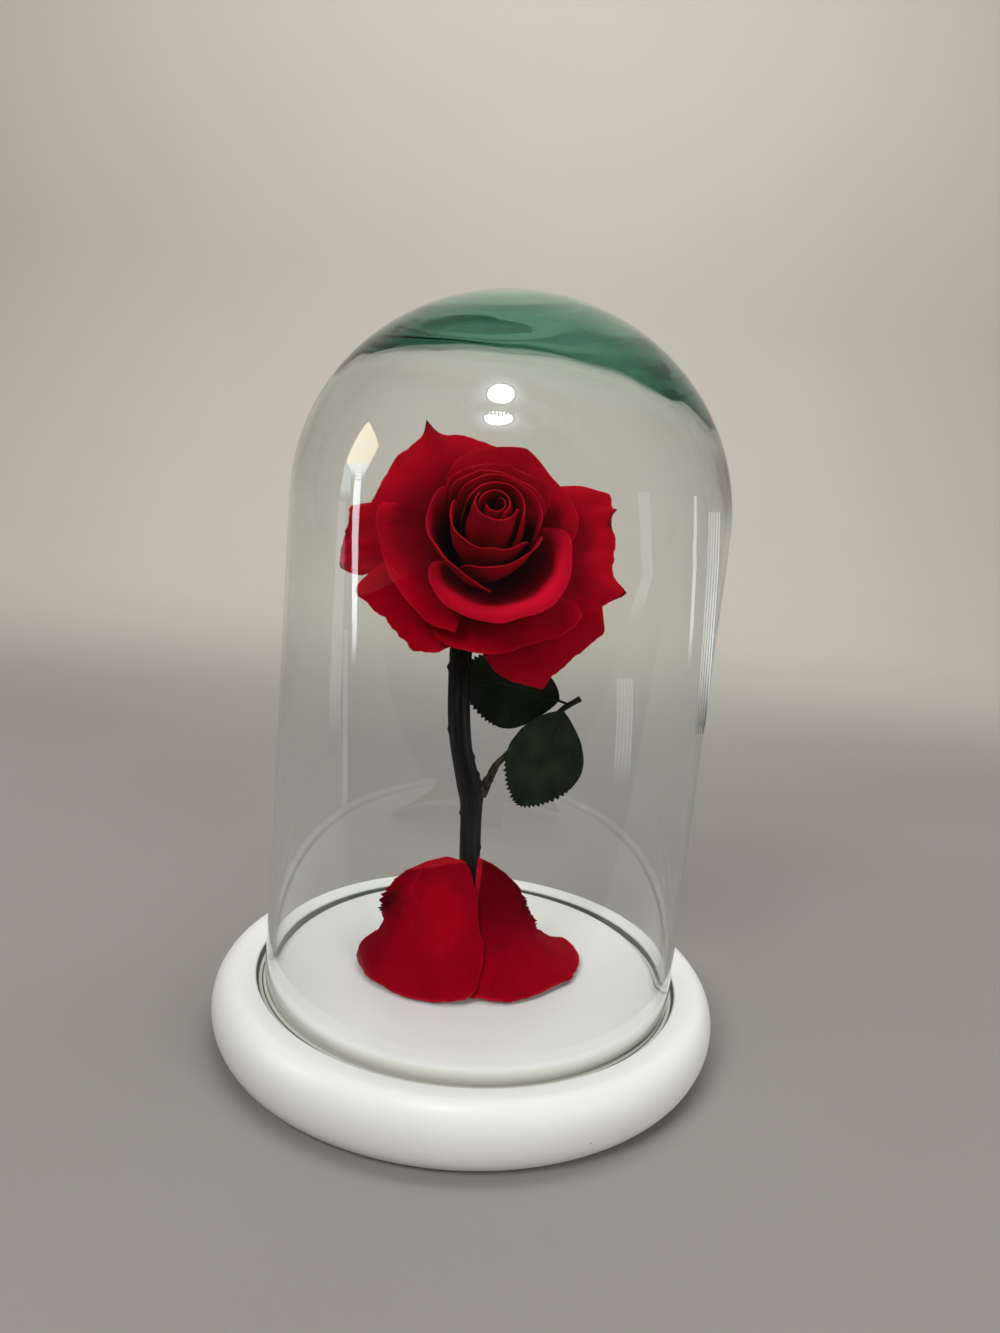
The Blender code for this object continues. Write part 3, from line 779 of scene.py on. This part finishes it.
def petal_reach(shape, seed, across):
    """A petal's length at this place across it, with its corners and small bites."""
    reach = shape["length"] * (1.0 - shape["blunt"] * abs(across) ** 3)
    reach *= 1.0 - shape.get("corner", 0.3) * max(0.0, (abs(across) - 0.7) / 0.3) ** 2.2
    for tip_at, tip, tip_width in shape.get("tips", ()):
        reach += tip * math.exp(-(abs((across - tip_at) / tip_width) ** 1.4))
    ragged = shape.get("ragged", 0.12)
    reach += ragged * (jitter(across, seed, 5.0) + 0.7 * jitter(across, seed + 3, 14.0))
    return reach


def petal_point(shape, seed, across, along):
    """A point of a petal, on cups that open one outside the other, so that petals never cross."""
    opening = shape["open"] + shape.get("twist", 0.0) * across - shape.get("rise", 0.0) * across * across
    frill = shape.get("frill", 0.0) * smooth((along - 0.45) / 0.55)
    opening += frill * (jitter(across, seed + 5, 2.2) + 0.4 * jitter(across, seed + 6, 6.0))
    reach = petal_reach(shape, seed, across)
    roll = shape.get("roll", 0.0) * (1.0 - shape.get("roll_fade", 0.0) * across * across)
    roll_depth = shape.get("roll_depth", 1.0)
    curl = min(14.0 + 0.1 * opening, 16.0 - 0.62 * (opening - 20.0))
    radius, height = FOOT_RADIUS * (max(opening, 0.5) / 100.0) ** 0.45, PETAL_START
    step = along * reach / CURVE_STEPS
    for i in range(CURVE_STEPS):
        travelled = (i + 0.5) * step
        angle = opening + curl * math.cos(math.pi * min(travelled / CURVE_REACH, 1.0))
        angle += roll * smooth(1.0 - (reach - travelled) / roll_depth)
        radius += step * math.sin(math.radians(angle))
        height += step * math.cos(math.radians(angle))
    narrow = 0.5 + 0.5 * smooth(along / 0.45)
    bulge = shape.get("bulge", 0.0) * max(-across, 0.0) ** 2 * math.sin(math.pi * min(along, 1.0)) ** 1.5
    turn = math.radians(shape["round"] + shape["half"] * across * narrow - bulge)
    right, up, forward = bloom_axes()
    outward = right * math.cos(turn) + up * math.sin(turn)
    point = BLOOM_BASE + outward * radius + forward * height
    point += up * BUD_SHIFT * math.exp(-((radius / BUD_RADIUS) ** 2)) * smooth(height / 40.0)
    sway = noise.noise(point / 17.0) + 0.4 * noise.noise(point / 8.0 + Vector((3.0, 0.0, 0.0)))
    return point + outward * PETAL_SWAY * sway * smooth(height / 30.0)


def make_petal(name, shape, seed, sizes, material):
    """One petal of the bloom."""
    def towards_rim(along):
        return 1.0 - (1.0 - along) ** 1.25

    piece = bent_grid(PETAL_COLUMNS, PETAL_ROWS,
                      lambda across, along: petal_point(shape, seed, across, towards_rim(along)))

    def to_edge(across, along):
        reach = petal_reach(shape, seed, across)
        side = 60.0 if "bulge" not in shape else reach * math.radians(shape["half"]) * (1.0 + across) * 0.8
        return min(reach * (1.0 - towards_rim(along)), side)

    # Browned spots, and a few spots of painted shade under rolled strips
    def dryness_and_shade(across, along):
        dry_and_shade = 0.0
        for where, up, size, strength in shape.get("dry_and_shade", ()):
            away = math.hypot(across - where, (along - up) * 1.2) / size
            dry_and_shade = max(dry_and_shade, strength * (1.0 - smooth(away - 0.2)))
        return dry_and_shade

    note(piece, "edge_mm", to_edge)
    # Painted highlight: how much the rolled rim is brightened, most about 4.5 mm in from its edge and least
    # at its sides
    def painted_highlight_at(across, along):
        depth = petal_reach(shape, seed, across) * (1.0 - towards_rim(along))
        return shape.get("painted_highlight", 0.0) * bump_at(depth, 4.5, 4.0) * (1.0 - across * across)

    note(piece, "dry_and_shade", dryness_and_shade)
    note(piece, "painted_highlight", painted_highlight_at)
    thicken(sizes.petal_thickness)
    finish_piece(piece, name + "_skin", material, "petal_red", name, angle=60.0)


class ROSE_OT_petals(bpy.types.Operator):
    """Grows the bloom, one piece for each petal"""

    bl_idname = "rose.petals"
    bl_label = "Petals"

    def execute(self, context):
        material = petal_skin("preserved red petal")
        for seed, (name, shape) in enumerate(PETALS.items()):
            make_petal(name, shape, seed, context.scene.rose_sizes, material)
        return {"FINISHED"}


def on_route(route, along):
    """(place, radius) at a share of a route's length, smooth through its points."""
    points = [Vector(point[:3]) for point in route]
    lengths = [0.0]
    for before, after in zip(points, points[1:]):
        lengths.append(lengths[-1] + (after - before).length)
    wanted = along * lengths[-1]
    i = 0
    while i < len(points) - 2 and lengths[i + 1] < wanted:
        i += 1
    t = (wanted - lengths[i]) / (lengths[i + 1] - lengths[i])
    a, b, c, d = (points[min(max(j, 0), len(points) - 1)] for j in (i - 1, i, i + 1, i + 2))
    place = b + 0.5 * t * (c - a + t * (2 * a - 5 * b + 4 * c - d + t * (3 * (b - c) + d - a)))
    return place, route[i][3] + (route[i + 1][3] - route[i][3]) * smooth(t)


def tube(route, around, rings, swell):
    """A closed round piece along a route. swell(turn, along) scales its radius."""
    side = Vector((0.0, -1.0, 0.0))

    def place(across, along):
        middle, radius = on_route(route, along)
        ahead = on_route(route, min(along + 0.01, 1.0))[0] - on_route(route, max(along - 0.01, 0.0))[0]
        ahead.normalize()
        first = (side - ahead * side.dot(ahead)).normalized()
        second = ahead.cross(first)
        turn = math.pi * across
        radius *= swell(turn, along)
        return middle + (first * math.cos(turn) + second * math.sin(turn)) * radius

    piece = bent_grid(around, rings, place)
    close_up(1e-7)
    bpy.ops.object.mode_set(mode="EDIT")
    bpy.ops.mesh.select_all(action="DESELECT")
    bpy.ops.mesh.select_non_manifold()
    bpy.ops.mesh.fill_holes(sides=0)
    bpy.ops.mesh.select_all(action="SELECT")
    bpy.ops.mesh.normals_make_consistent(inside=False)
    bpy.ops.object.mode_set(mode="OBJECT")
    return piece


def bump_at(along, where, width):
    """A round bump of height 1 round a share of the length."""
    return math.exp(-(((along - where) / width) ** 2))


def stem_swell(turn, along):
    """Ridges along the stem, its collar and the knot that the leaf twig grows from."""
    ridges = noise.noise(Vector((math.cos(turn) * 1.7, math.sin(turn) * 1.7, along * 5.0)))
    fine = noise.noise(Vector((math.cos(turn) * 5.0, math.sin(turn) * 5.0, along * 12.0 + 3.0)))
    collar = 0.15 * bump_at(along, STEM_COLLAR, 0.006) - 0.07 * bump_at(along, STEM_COLLAR + 0.02, 0.012)
    knot = 0.3 * bump_at(along, STEM_NODE, 0.03) * max(math.cos(turn - 1.4), 0.0) ** 2
    groove = bump_at(turn, 1.05, 0.12) * smooth((along - STEM_COLLAR + 0.2) * 12.0)
    spurs = sum(bump_at(along, where, 0.006) * bump_at(turn, side, 0.25) for where, side in STEM_SPURS)
    return 1.0 + 0.06 * ridges + 0.03 * fine + collar + knot - 0.13 * groove + 0.14 * spurs


def twig_swell(turn, along):
    """Frayed bark, rough near the stem and smooth towards the leaves."""
    rough = 1.0 - smooth(along / 0.5)
    fray = noise.noise(Vector((math.cos(turn) * 2.0, math.sin(turn) * 2.0, along * 22.0)))
    fine = noise.noise(Vector((math.cos(turn) * 4.0, math.sin(turn) * 4.0, along * 60.0)))
    return 1.0 + (0.08 + 0.45 * rough) * fray + (0.04 + 0.3 * rough) * fine


class ROSE_OT_stem(bpy.types.Operator):
    """Grows the dark stem with its hip, collar and ridges"""

    bl_idname = "rose.stem"
    bl_label = "Stem"

    def execute(self, context):
        forward = bloom_axes()[2]
        hip = tuple((*(BLOOM_BASE - forward * back), radius) for back, radius in HIP)
        piece = tube((*STEM_ROUTE, *hip), 40, 260, stem_swell)
        finish_piece(piece, "dark_stem", stem_bark(), "stem_bark", "stem", angle=60.0)
        return {"FINISHED"}


def leaf_edge(shape, along, side):
    """How far a leaflet's side stands out from its midrib, from 0 to 1."""
    stalk = shape.get("stalk", 0.0)
    along = (along - stalk) / (1.0 - stalk)
    if not 0.0 < along < 1.0:
        return 0.0
    power = math.log(0.5) / math.log(shape["widest"])
    fullness = shape["fullness"][side] if along < shape["widest"] else 0.72
    swell = math.sin(math.pi * along ** power) ** fullness
    return swell * (1.0 - 0.02 * jitter(along, side, 9.0))


def leaf_tooth(shape, share, side):
    """How far a tooth stands out at this share of a leaflet's side, in millimetres."""
    tooth = (share * TEETH + 0.37 * side + 0.25 * jitter(share, side + 8, 7.0)) % 1.0
    tooth = tooth * (1.0 - smooth((tooth - 0.8) / 0.2))
    size = 0.75 + 0.5 * jitter(share, side + 4, 30.0)
    return TOOTH_DEPTH * size * smooth((share - shape["teeth"][side]) / 0.1) * (tooth - 0.35)


def leaf_point(shape, across, share):
    """A point of a leaflet: across from one edge to the other, share from stalk to point."""
    along = 1.0 - (1.0 - share) ** 1.5
    start, middle, end = (Vector(point) for point in shape["vein"])
    vein = start * (1 - along) ** 2 + middle * 2 * along * (1 - along) + end * along ** 2
    direction = ((middle - start) * (1 - along) + (end - middle) * along).normalized()
    sideways = Vector(shape["across"])
    sideways = (sideways - direction * sideways.dot(direction)).normalized()
    facing = direction.cross(sideways)
    side = 0 if across < 0 else 1
    swell = leaf_edge(shape, along, side)
    half = shape["left"] if across < 0 else shape["right"]
    tooth = leaf_tooth(shape, share, side) * abs(across) ** 6
    width = max(half * swell + tooth, 0.45)
    vein += direction * tooth * smooth((share - 0.5) * 3.0)
    crease = 0.5 * (1.0 - smooth(abs(across) * 5.0)) * smooth(along * 8.0)
    billow = 0.5 * noise.noise(Vector((across * 1.5, along * 4.0, half)))
    lift = shape["cup"] * (across * across - 0.5) * min(swell, 1.0) + crease + billow * swell
    return vein + sideways * width * across + facing * lift


class ROSE_OT_leaves(bpy.types.Operator):
    """Grows the leaf twig and its two toothed leaflets"""

    bl_idname = "rose.leaves"
    bl_label = "Twig and leaves"

    def execute(self, context):
        twig = tube(TWIG_ROUTE, 24, 200, twig_swell)
        finish_piece(twig, "bare_twig", twig_bark(), "twig_bark", "leaf_twig", angle=60.0)
        material = leaf_skin()
        for name, shape in LEAVES.items():
            piece = bent_grid(LEAF_COLUMNS, LEAF_ROWS,
                              lambda across, share, shape=shape: leaf_point(shape, across, share))
            thicken(context.scene.rose_sizes.leaf_thickness)
            finish_piece(piece, name + "_blade", material, "leaf_green", name, angle=60.0)
        return {"FINISHED"}


def spline_weights(t):
    """How much each of four points in a row counts, so that the curve runs through the middle two."""
    return (-t * (1 - t) ** 2 / 2, (3 * t ** 3 - 5 * t * t + 2) / 2, t * (1 + 4 * t - 3 * t * t) / 2,
            -t * t * (1 - t) / 2)


def on_cage(rows, across, along):
    """A point of the smooth sheet that a cage of points spans."""
    def line(points, share):
        count = len(points) - 1
        at = min(max(share, 0.0), 1.0) * count
        i = min(int(at), count - 1)
        point = Vector((0.0, 0.0, 0.0))
        for weight, j in zip(spline_weights(at - i), range(i - 1, i + 3)):
            if j < 0:
                control = points[0] * 2 - points[1]
            elif j > count:
                control = points[count] * 2 - points[count - 1]
            else:
                control = points[j]
            point += control * weight
        return point

    return line([line([Vector(point) for point in row], (across + 1) / 2) for row in rows], along)


def between(stops, share):
    """The value at a share of a line of (share, value) stops."""
    for (low, before), (high, after) in zip(stops, stops[1:]):
        if share <= high:
            return before + (after - before) * (share - low) / (high - low)
    return stops[-1][1]


def fallen_point(rows, edges, seed, across, along):
    """A point of a fallen petal, with its torn edges, its folded crest and its crumpled shoulder."""
    point = on_cage(rows, across, along)
    step = 0.01 if across < 0 else -0.01
    outward = (on_cage(rows, across + step, along) - point).normalized() * math.copysign(1.0, step)
    step = 0.01 if along < 0.5 else -0.01
    down = (on_cage(rows, across, along + step) - point).normalized() * math.copysign(1.0, step)
    share = (across + 1.0) / 2.0
    upper = smooth((0.62 - along) * 6.0)
    saw = (along * 19.0 + 1.2 * jitter(along, seed + 5, 9.0)) % 1.0
    bite = 0.5 * jitter(along, seed, 9.0) + (0.4 + 0.9 * upper) * jitter(along, seed + 1, 34.0)
    saw = (saw - 0.4) * (1.0 - smooth((saw - 0.82) / 0.18))
    bite += (2.4 + 1.4 * jitter(along, seed + 6, 21.0)) * upper * saw
    nick = 0.4 * jitter(across, seed + 2, 8.0) + 0.25 * jitter(across, seed + 3, 20.0)
    inward = outward * (between(edges["crease"], along) * (1.0 - share) ** 3
                        - (between(edges["outer"], along) + bite) * share ** 3)
    inward += down * (between(edges["top"], share) * (1.0 - along) ** 4
                      - (between(edges["below"], share) + nick) * along ** 4)
    crumple = bump_at(along, 0.36, 0.2) * smooth((across - 0.05) / 0.6)
    fold = noise.noise(point / 5.0) + 0.6 * noise.noise(point / 2.3)
    lift = 0.5 * noise.noise(point / 16.0) + 1.5 * crumple * fold
    pleat = bump_at(across, 0.28 + 0.3 * along, 0.06) * smooth(1.5 - 4.0 * along)
    lift += 0.9 * bump_at(along, 0.02, 0.04) + 0.5 * pleat
    return point + inward + outward.cross(down).normalized() * -lift * smooth((1.05 - along) * 6.0)


def left_marks(across, along):
    """(dried, pale fold, painted shade and light) of the left fallen petal."""
    crease = bump_at(across, 0.28 + 0.25 * along, 0.05) * smooth(1.6 - 4.5 * along)
    crest = smooth((0.075 * bump_at(across, 0.0, 0.75) - along) / 0.02 + 0.5)
    dried = 0.75 * bump_at(along, 0.33, 0.2) * smooth((across - 0.15) / 0.7)
    # Painted shade: darker low down and on its right side, less where a painted pool of light (glow) falls
    # in the middle
    low = smooth((along - 0.45) / 0.4) * smooth((across + 0.1) / 0.7)
    glow = bump_at(along, 0.42, 0.22) * bump_at(across, -0.25, 0.42)
    side = 0.55 * smooth((across - 0.1) / 0.5)
    return dried, max(0.5 * crease, crest), max(0.36, 0.66 * low, side) - 0.65 * glow


def right_marks(across, along):
    """(dried, pale fold, painted shade) of the right fallen petal."""
    strip = smooth((0.42 * (0.5 - along) - (across + 1.0)) / 0.06 + 0.5)
    edge = bump_at(across + 1.0, 0.42 * (0.5 - along), 0.03) * smooth((0.5 - along) * 8.0)
    dried = bump_at(along, 0.28, 0.2) * smooth((across + 0.3) / 1.1)
    # Painted shade: the upper part, which faces away from the light, is darker
    shade = 0.62 * smooth((0.78 - along - 0.1 * across) / 0.5)
    return 0.6 * dried, max(0.75 * strip, edge), shade * (1.0 - strip) + 0.3


class ROSE_OT_fallen_petals(bpy.types.Operator):
    """Lays the two fallen petals against the foot of the stem"""

    bl_idname = "rose.fallen_petals"
    bl_label = "Fallen petals"

    def execute(self, context):
        material = petal_skin("fallen red petal", fallen=True)
        for seed, (name, rows) in enumerate(FALLEN_PETALS.items(), 40):
            piece = bent_grid(FALLEN_CELLS, FALLEN_CELLS,
                              lambda across, along, rows=rows, edges=FALLEN_EDGES[name], seed=seed:
                              fallen_point(rows, edges, seed, across, along))
            marks = left_marks if name.endswith("left") else right_marks
            note(piece, "edge_mm", lambda across, along: 42.0 * min(1 - abs(across), along, 1 - along))
            for which, mark in enumerate(("dry_and_shade", "fold", "shade")):
                note(piece, mark, lambda *at, marks=marks, which=which: marks(*at)[which])
            thicken(context.scene.rose_sizes.petal_thickness)
            finish_piece(piece, name + "_skin", material, "petal_red", name, angle=60.0)
        return {"FINISHED"}


# Camera: where it stands, how it is turned, and the shift of the photograph's frame
CAMERA_PLACE = (0.0, -0.349635, 0.20612)
CAMERA_YAW = 0.0571
CAMERA_PITCH = 0.1927
CAMERA_ROLL = 0.1039
PICTURE_HEIGHT = 1333
PICTURE_MIDDLE = Vector((500.0, 666.5))
CAMERA_FOCAL = 996.5856 / PICTURE_HEIGHT
CAMERA_SHIFT = (-52.9273 / PICTURE_HEIGHT, 3.4107 / PICTURE_HEIGHT)

# Lights: place, size across and up, power in watts and colour
LIGHTS = {
    "key_softbox": dict(place=(-0.75, -0.95, 1.15), size=(0.6, 0.6), power=13.5, tint=(1.0, 0.99, 0.97)),
    "fill_softbox": dict(place=(1.0, -0.9, 0.6), size=(0.9, 0.9), power=8.5, tint=(1.0, 0.99, 0.98)),
    "top_softbox": dict(place=(0.1, 0.3, 1.5), size=(1.2, 1.2), power=7.5, tint=(1.0, 0.99, 0.97)),
    "wall_softbox": dict(
        place=(0.0, 0.2, 1.6), size=(1.5, 0.8), power=15.5, tint=(1.0, 0.985, 0.96), aim=(0.0, 1.6, 0.6)),
}
LIGHTS_AIM = Vector((0.0, 0.0, 0.14))

# The room in the glass: cards that only the glass mirrors. Rows of (left, right, down) say
# where in the picture, in its pixels, each card shows, from its top to its foot
LAMP_CARDS = {
    "ceiling_lamp": dict(middle=(501.0, 394.0), half=(14.0, 10.0)),
    "ceiling_lamp_low": dict(middle=(498.5, 418.0), half=(15.0, 7.2)),
}
LAMP_GLOW = 2.6
LAMP_STRENGTH = 32.0
LAMP_TINT = (0.86, 0.95, 1.0)
WINDOW_CARDS = {
    "left_window": dict(
        rows=((367, 369, 422), (358, 376, 434), (351, 380, 446), (345, 373, 460), (350, 366, 472),
            (352, 362, 484)), tint=(0.86, 0.93, 1.0), top=(1.0, 0.86, 0.62), strength=9.0, split=0.34),
    "left_strip": dict(
        rows=((356, 363, 462), (353, 361, 490), (352, 359, 530), (352, 358, 580), (352, 357, 640),
            (351, 355, 670)), tint=(0.86, 0.93, 1.0), strength=11.0),
    "left_garden": dict(
        rows=((345, 349, 462), (343, 351, 474), (340, 351, 488), (340, 350, 500)),
            tint=(0.62, 0.86, 0.88), top=(0.7, 0.9, 0.9), strength=5.0, frame=0.5),
    "left_pane": dict(
        rows=((338, 346, 500), (335, 345, 560), (331, 343, 640), (329, 341, 700), (328, 339, 760)),
            tint=(0.80, 0.90, 1.0), strength=1.6, frame=0.3),
    "left_frame": dict(
        rows=((344, 348, 630), (343, 348, 700), (342, 348, 780), (341, 347, 860)), strength=1.4, frame=0.2),
    "right_pane": dict(
        rows=((637, 650, 492), (640, 652, 530), (643, 654, 570), (632, 645, 605), (623, 631, 628)),
            strength=1.8, frame=0.4),
    "right_door": dict(
        rows=((616, 634, 678), (616, 634, 710), (614, 632, 750), (612, 630, 790)), tint=(0.85, 0.92, 1.0),
            strength=2.2, frame=0.5),
    "right_line": dict(
        rows=((694, 697, 496), (693, 697, 560), (690, 694, 620), (686, 690, 680)), strength=3.0),
    "far_right_pane": dict(
        rows=((708, 721, 512), (707, 720, 560), (702, 714, 640), (694, 706, 740)), strength=1.6, frame=0.8),
}
PANE_TINT = (0.9, 0.95, 1.0)
CARD_DISTANCE = 300.0
BLACK = (0.0, 0.0, 0.0)
DAYLIGHT = (0.86, 0.85, 0.83)
DAYLIGHT_STRENGTH = 0.03
DAYLIGHT_THROUGH_GLASS = 0.32
DAYLIGHT_BEHIND = 0.45


def camera_axes():
    """The camera's own right, up and ahead directions."""
    yaw, pitch, roll = CAMERA_YAW, CAMERA_PITCH, CAMERA_ROLL
    ahead = Vector((math.sin(yaw) * math.cos(pitch), math.cos(yaw) * math.cos(pitch), -math.sin(pitch)))
    level = Vector((math.cos(yaw), -math.sin(yaw), 0.0))
    upright = level.cross(ahead)
    right = level * math.cos(roll) + upright * math.sin(roll)
    return right, upright * math.cos(roll) - level * math.sin(roll), ahead


def mirrored(sizes, left, down):
    """Where a card stands that the dome's outer face mirrors at this place of the picture."""
    right, up, ahead = camera_axes()
    middle = PICTURE_MIDDLE - Vector((CAMERA_SHIFT[0], -CAMERA_SHIFT[1])) * PICTURE_HEIGHT
    aside = right * (left - middle.x) - up * (down - middle.y)
    sight = (ahead + aside / (CAMERA_FOCAL * PICTURE_HEIGHT)).normalized()
    radius, rise = sizes.dome_radius / MM, sizes.dome_top / MM - DOME_SHOULDER
    eye = Vector(CAMERA_PLACE) / MM - Vector((DOME_OFFSET, 0.0, DOME_SHOULDER))
    for height in (math.inf, rise):
        squash = Vector((1.0 / radius, 1.0 / radius, 1.0 / height))
        start, way = eye * squash, sight * squash
        half, rest = start.dot(way), start.dot(start) - 1.0
        depth = math.sqrt(max(half * half - rest * way.dot(way), 0.0))
        met = eye + sight * (-half - depth) / way.dot(way)
        if height == rise or met.z < 0.0:
            break
    outward = (met * squash * squash).normalized()
    back = sight - outward * 2.0 * sight.dot(outward)
    return met + back * CARD_DISTANCE + Vector((DOME_OFFSET, 0.0, DOME_SHOULDER))


def add_camera():
    """The camera, at the photograph's place and angle."""
    right, up, ahead = camera_axes()
    bpy.ops.object.camera_add()
    camera = bpy.context.object
    camera.name = "photo_camera"
    turn = Matrix((right, up, -ahead)).transposed().to_4x4()
    turn.translation = Vector(CAMERA_PLACE)
    camera.matrix_world = turn
    camera.data.lens = CAMERA_FOCAL * camera.data.sensor_width
    camera.data.shift_x, camera.data.shift_y = CAMERA_SHIFT
    camera.data.clip_start = 0.01
    bpy.context.scene.camera = camera


def add_lights():
    """Soft studio light from large softboxes, which neither the camera nor the glass shows."""
    for name, light in LIGHTS.items():
        bpy.ops.object.light_add(type="AREA")
        lamp = bpy.context.object
        lamp.name = name
        lamp.data.shape = "RECTANGLE"
        lamp.data.size, lamp.data.size_y = light["size"]
        lamp.data.energy = light["power"]
        lamp.data.color = light["tint"]
        lamp.visible_camera = lamp.visible_glossy = lamp.visible_transmission = False
        aim = Vector(light.get("aim", LIGHTS_AIM)) - Vector(light["place"])
        lamp.matrix_world = Matrix.LocRotScale(Vector(light["place"]), aim.to_track_quat("-Z", "Y"), None)
    finish = Finish("soft daylight", "worlds", "Background")
    transmitted, turned_back, scattered, seen = (
        finish.rays(name)
        for name in ("Is Transmission Ray", "Glossy Depth", "Diffuse Depth", "Is Camera Ray"))
    trapped = (transmitted * turned_back - 1.0) > scattered
    frontwards = finish.part(finish.node("ShaderNodeTexCoord", output="Generated"), 1).ramp(0.35, 0.1)
    straight = (seen + transmitted) * (1.0 - turned_back).clamped() * (1.0 - scattered).clamped()
    strength = DAYLIGHT_STRENGTH + trapped * DAYLIGHT_THROUGH_GLASS
    strength += straight * frontwards * DAYLIGHT_BEHIND
    world = finish.set(Color=DAYLIGHT, Strength=strength)
    world.cycles.sampling_method = "NONE"
    bpy.context.scene.world = world


def glow(name, strength):
    """A black finish that shines; its emission colour is still to be set."""
    finish = Finish(name)
    finish.set(Base_Color=BLACK, Roughness=1.0, Specular_IOR_Level=0.0, Emission_Strength=strength)
    return finish


def add_card(name, columns, rows, place, material):
    """A card that only the glass mirrors."""
    card = bent_grid(columns, rows, place)
    card.name = name
    card.data.materials.append(material)
    material.cycles.emission_sampling = "NONE"
    card.visible_camera = card.visible_diffuse = card.visible_transmission = card.visible_shadow = False


def add_cards(sizes):
    """The lamps and windows of the room, and a dark cloth in front that keeps the glass clear."""
    for name, lamp in LAMP_CARDS.items():
        finish = glow(name, LAMP_STRENGTH)
        across, down = finish.along(0) * 2.0 - 1.0, finish.along(1) * 2.0 - 1.0
        away = (across * across + down * down).math("SQRT") * LAMP_GLOW
        light = away.ramp(1.02, 0.92) + away.ramp(1.08, 1.16) * away.ramp(LAMP_GLOW, 0.4) ** 2.0 * 0.22
        material = finish.set(
            Emission_Color=finish.mix(light, BLACK, LAMP_TINT), Alpha=light > 0.001)

        def lamp_place(across, along, lamp=lamp):
            left = lamp["middle"][0] + lamp["half"][0] * LAMP_GLOW * across
            down = lamp["middle"][1] + lamp["half"][1] * LAMP_GLOW * (1.0 - 2.0 * along)
            return mirrored(sizes, left, down)

        add_card(name, 20, 20, lamp_place, material)
    for name, window in WINDOW_CARDS.items():
        finish = glow(name, window["strength"])
        across, up = finish.along(0), finish.along(1)
        soft = (across * (1.0 - across) * 4.0).ramp(0.0, 0.35) * up.ramp(0.0, 0.35)
        split = window.get("split", 0.67)
        bars = (across * 5.0).math("PINGPONG", 0.5).ramp(0.1, 0.3)
        light = soft * (1.0 - window.get("frame", 0.0) * (1.0 - bars))
        tint, top = window.get("tint", PANE_TINT), window.get("top", PANE_TINT)
        shine = finish.mix(up.ramp(split - 0.04, split + 0.04), tint, top)
        material = finish.set(Emission_Color=finish.mix(light, BLACK, shine), Alpha=light > 0.01)
        rows = window["rows"]

        def window_place(across, along, rows=rows):
            at = (1.0 - along) * (len(rows) - 1)
            i = min(int(at), len(rows) - 2)
            left, right, down = Vector(rows[i]).lerp(Vector(rows[i + 1]), at - i)
            return mirrored(sizes, left + (right - left) * (across + 1.0) / 2.0, down)

        add_card(name, 8, 40, window_place, material)
    cloth = Finish("black cloth").set(
        Base_Color=(0.004, 0.004, 0.004), Roughness=1.0, Specular_IOR_Level=0.0)
    add_card("dark_cloth", 2, 2, lambda *at: Vector((at[0] * 1200.0, -120.0 - 1100.0 * at[1], 2.0)), cloth)


# Backdrop: how far it runs from its front edge up to its top, and where its floor starts and ends
BACKDROP_RUN = 5000.0
BACKDROP_HALF_WIDTH = 2500.0
FLOOR_FRONT = 1000.0
FLOOR_RUN = 1900.0
SWEEP_RADIUS = 500.0


def add_backdrop():
    """A plain pale floor that rises in one sweep to a wall behind."""
    def place(across, along):
        run = along * BACKDROP_RUN
        angle = min(max(run - FLOOR_RUN, 0.0) / SWEEP_RADIUS, math.pi / 2)
        y = min(run, FLOOR_RUN) - FLOOR_FRONT + SWEEP_RADIUS * math.sin(angle)
        z = SWEEP_RADIUS * (1.0 - math.cos(angle)) + max(0.0, run - FLOOR_RUN - SWEEP_RADIUS * math.pi / 2)
        return Vector((across * BACKDROP_HALF_WIDTH, y, z))

    floor = bent_grid(8, 160, place)
    floor.name = "backdrop"
    floor.data.materials.append(backdrop_paint())
    bpy.ops.object.shade_smooth()


class ROSE_OT_stage(bpy.types.Operator):
    """Sets the floor, the soft lights and the camera"""

    bl_idname = "rose.stage"
    bl_label = "Stage"

    def execute(self, context):
        start_piece()
        add_backdrop()
        add_lights()
        add_cards(context.scene.rose_sizes)
        add_camera()
        context.scene.view_settings.view_transform = "Standard"
        cycles = context.scene.cycles
        cycles.max_bounces = cycles.glossy_bounces = cycles.transmission_bounces = GLASS_BOUNCES
        cycles.diffuse_bounces = 2
        cycles.use_light_tree = False
        cycles.caustics_reflective = cycles.caustics_refractive = False
        return {"FINISHED"}


class VIEW3D_PT_rose(bpy.types.Panel):
    """The rose's pieces, sizes and colours"""

    bl_label = "Rose under glass"
    bl_space_type = "VIEW_3D"
    bl_region_type = "UI"
    bl_category = "Rose"

    def draw(self, context):
        for operator in OPERATORS:
            self.layout.operator(operator.bl_idname)
        for group in (context.scene.rose_sizes, context.scene.rose_colours):
            for name in type(group).__annotations__:
                self.layout.prop(group, name)


OPERATORS = (ROSE_OT_base, ROSE_OT_stem, ROSE_OT_petals, ROSE_OT_leaves, ROSE_OT_fallen_petals,
             ROSE_OT_dome, ROSE_OT_stage)
CLASSES = (RoseSizes, RoseColours, *OPERATORS, VIEW3D_PT_rose)


def register():
    for entry in CLASSES:
        bpy.utils.register_class(entry)
    bpy.types.Scene.rose_sizes = bpy.props.PointerProperty(type=RoseSizes)
    bpy.types.Scene.rose_colours = bpy.props.PointerProperty(type=RoseColours)


def unregister():
    del bpy.types.Scene.rose_colours
    del bpy.types.Scene.rose_sizes
    for entry in reversed(CLASSES):
        bpy.utils.unregister_class(entry)


def main():
    register()
    bpy.ops.rose.base()
    bpy.ops.rose.stem()
    bpy.ops.rose.petals()
    bpy.ops.rose.leaves()
    bpy.ops.rose.fallen_petals()
    bpy.ops.rose.dome()
    bpy.ops.rose.stage()


if __name__ == "__main__":
    main()
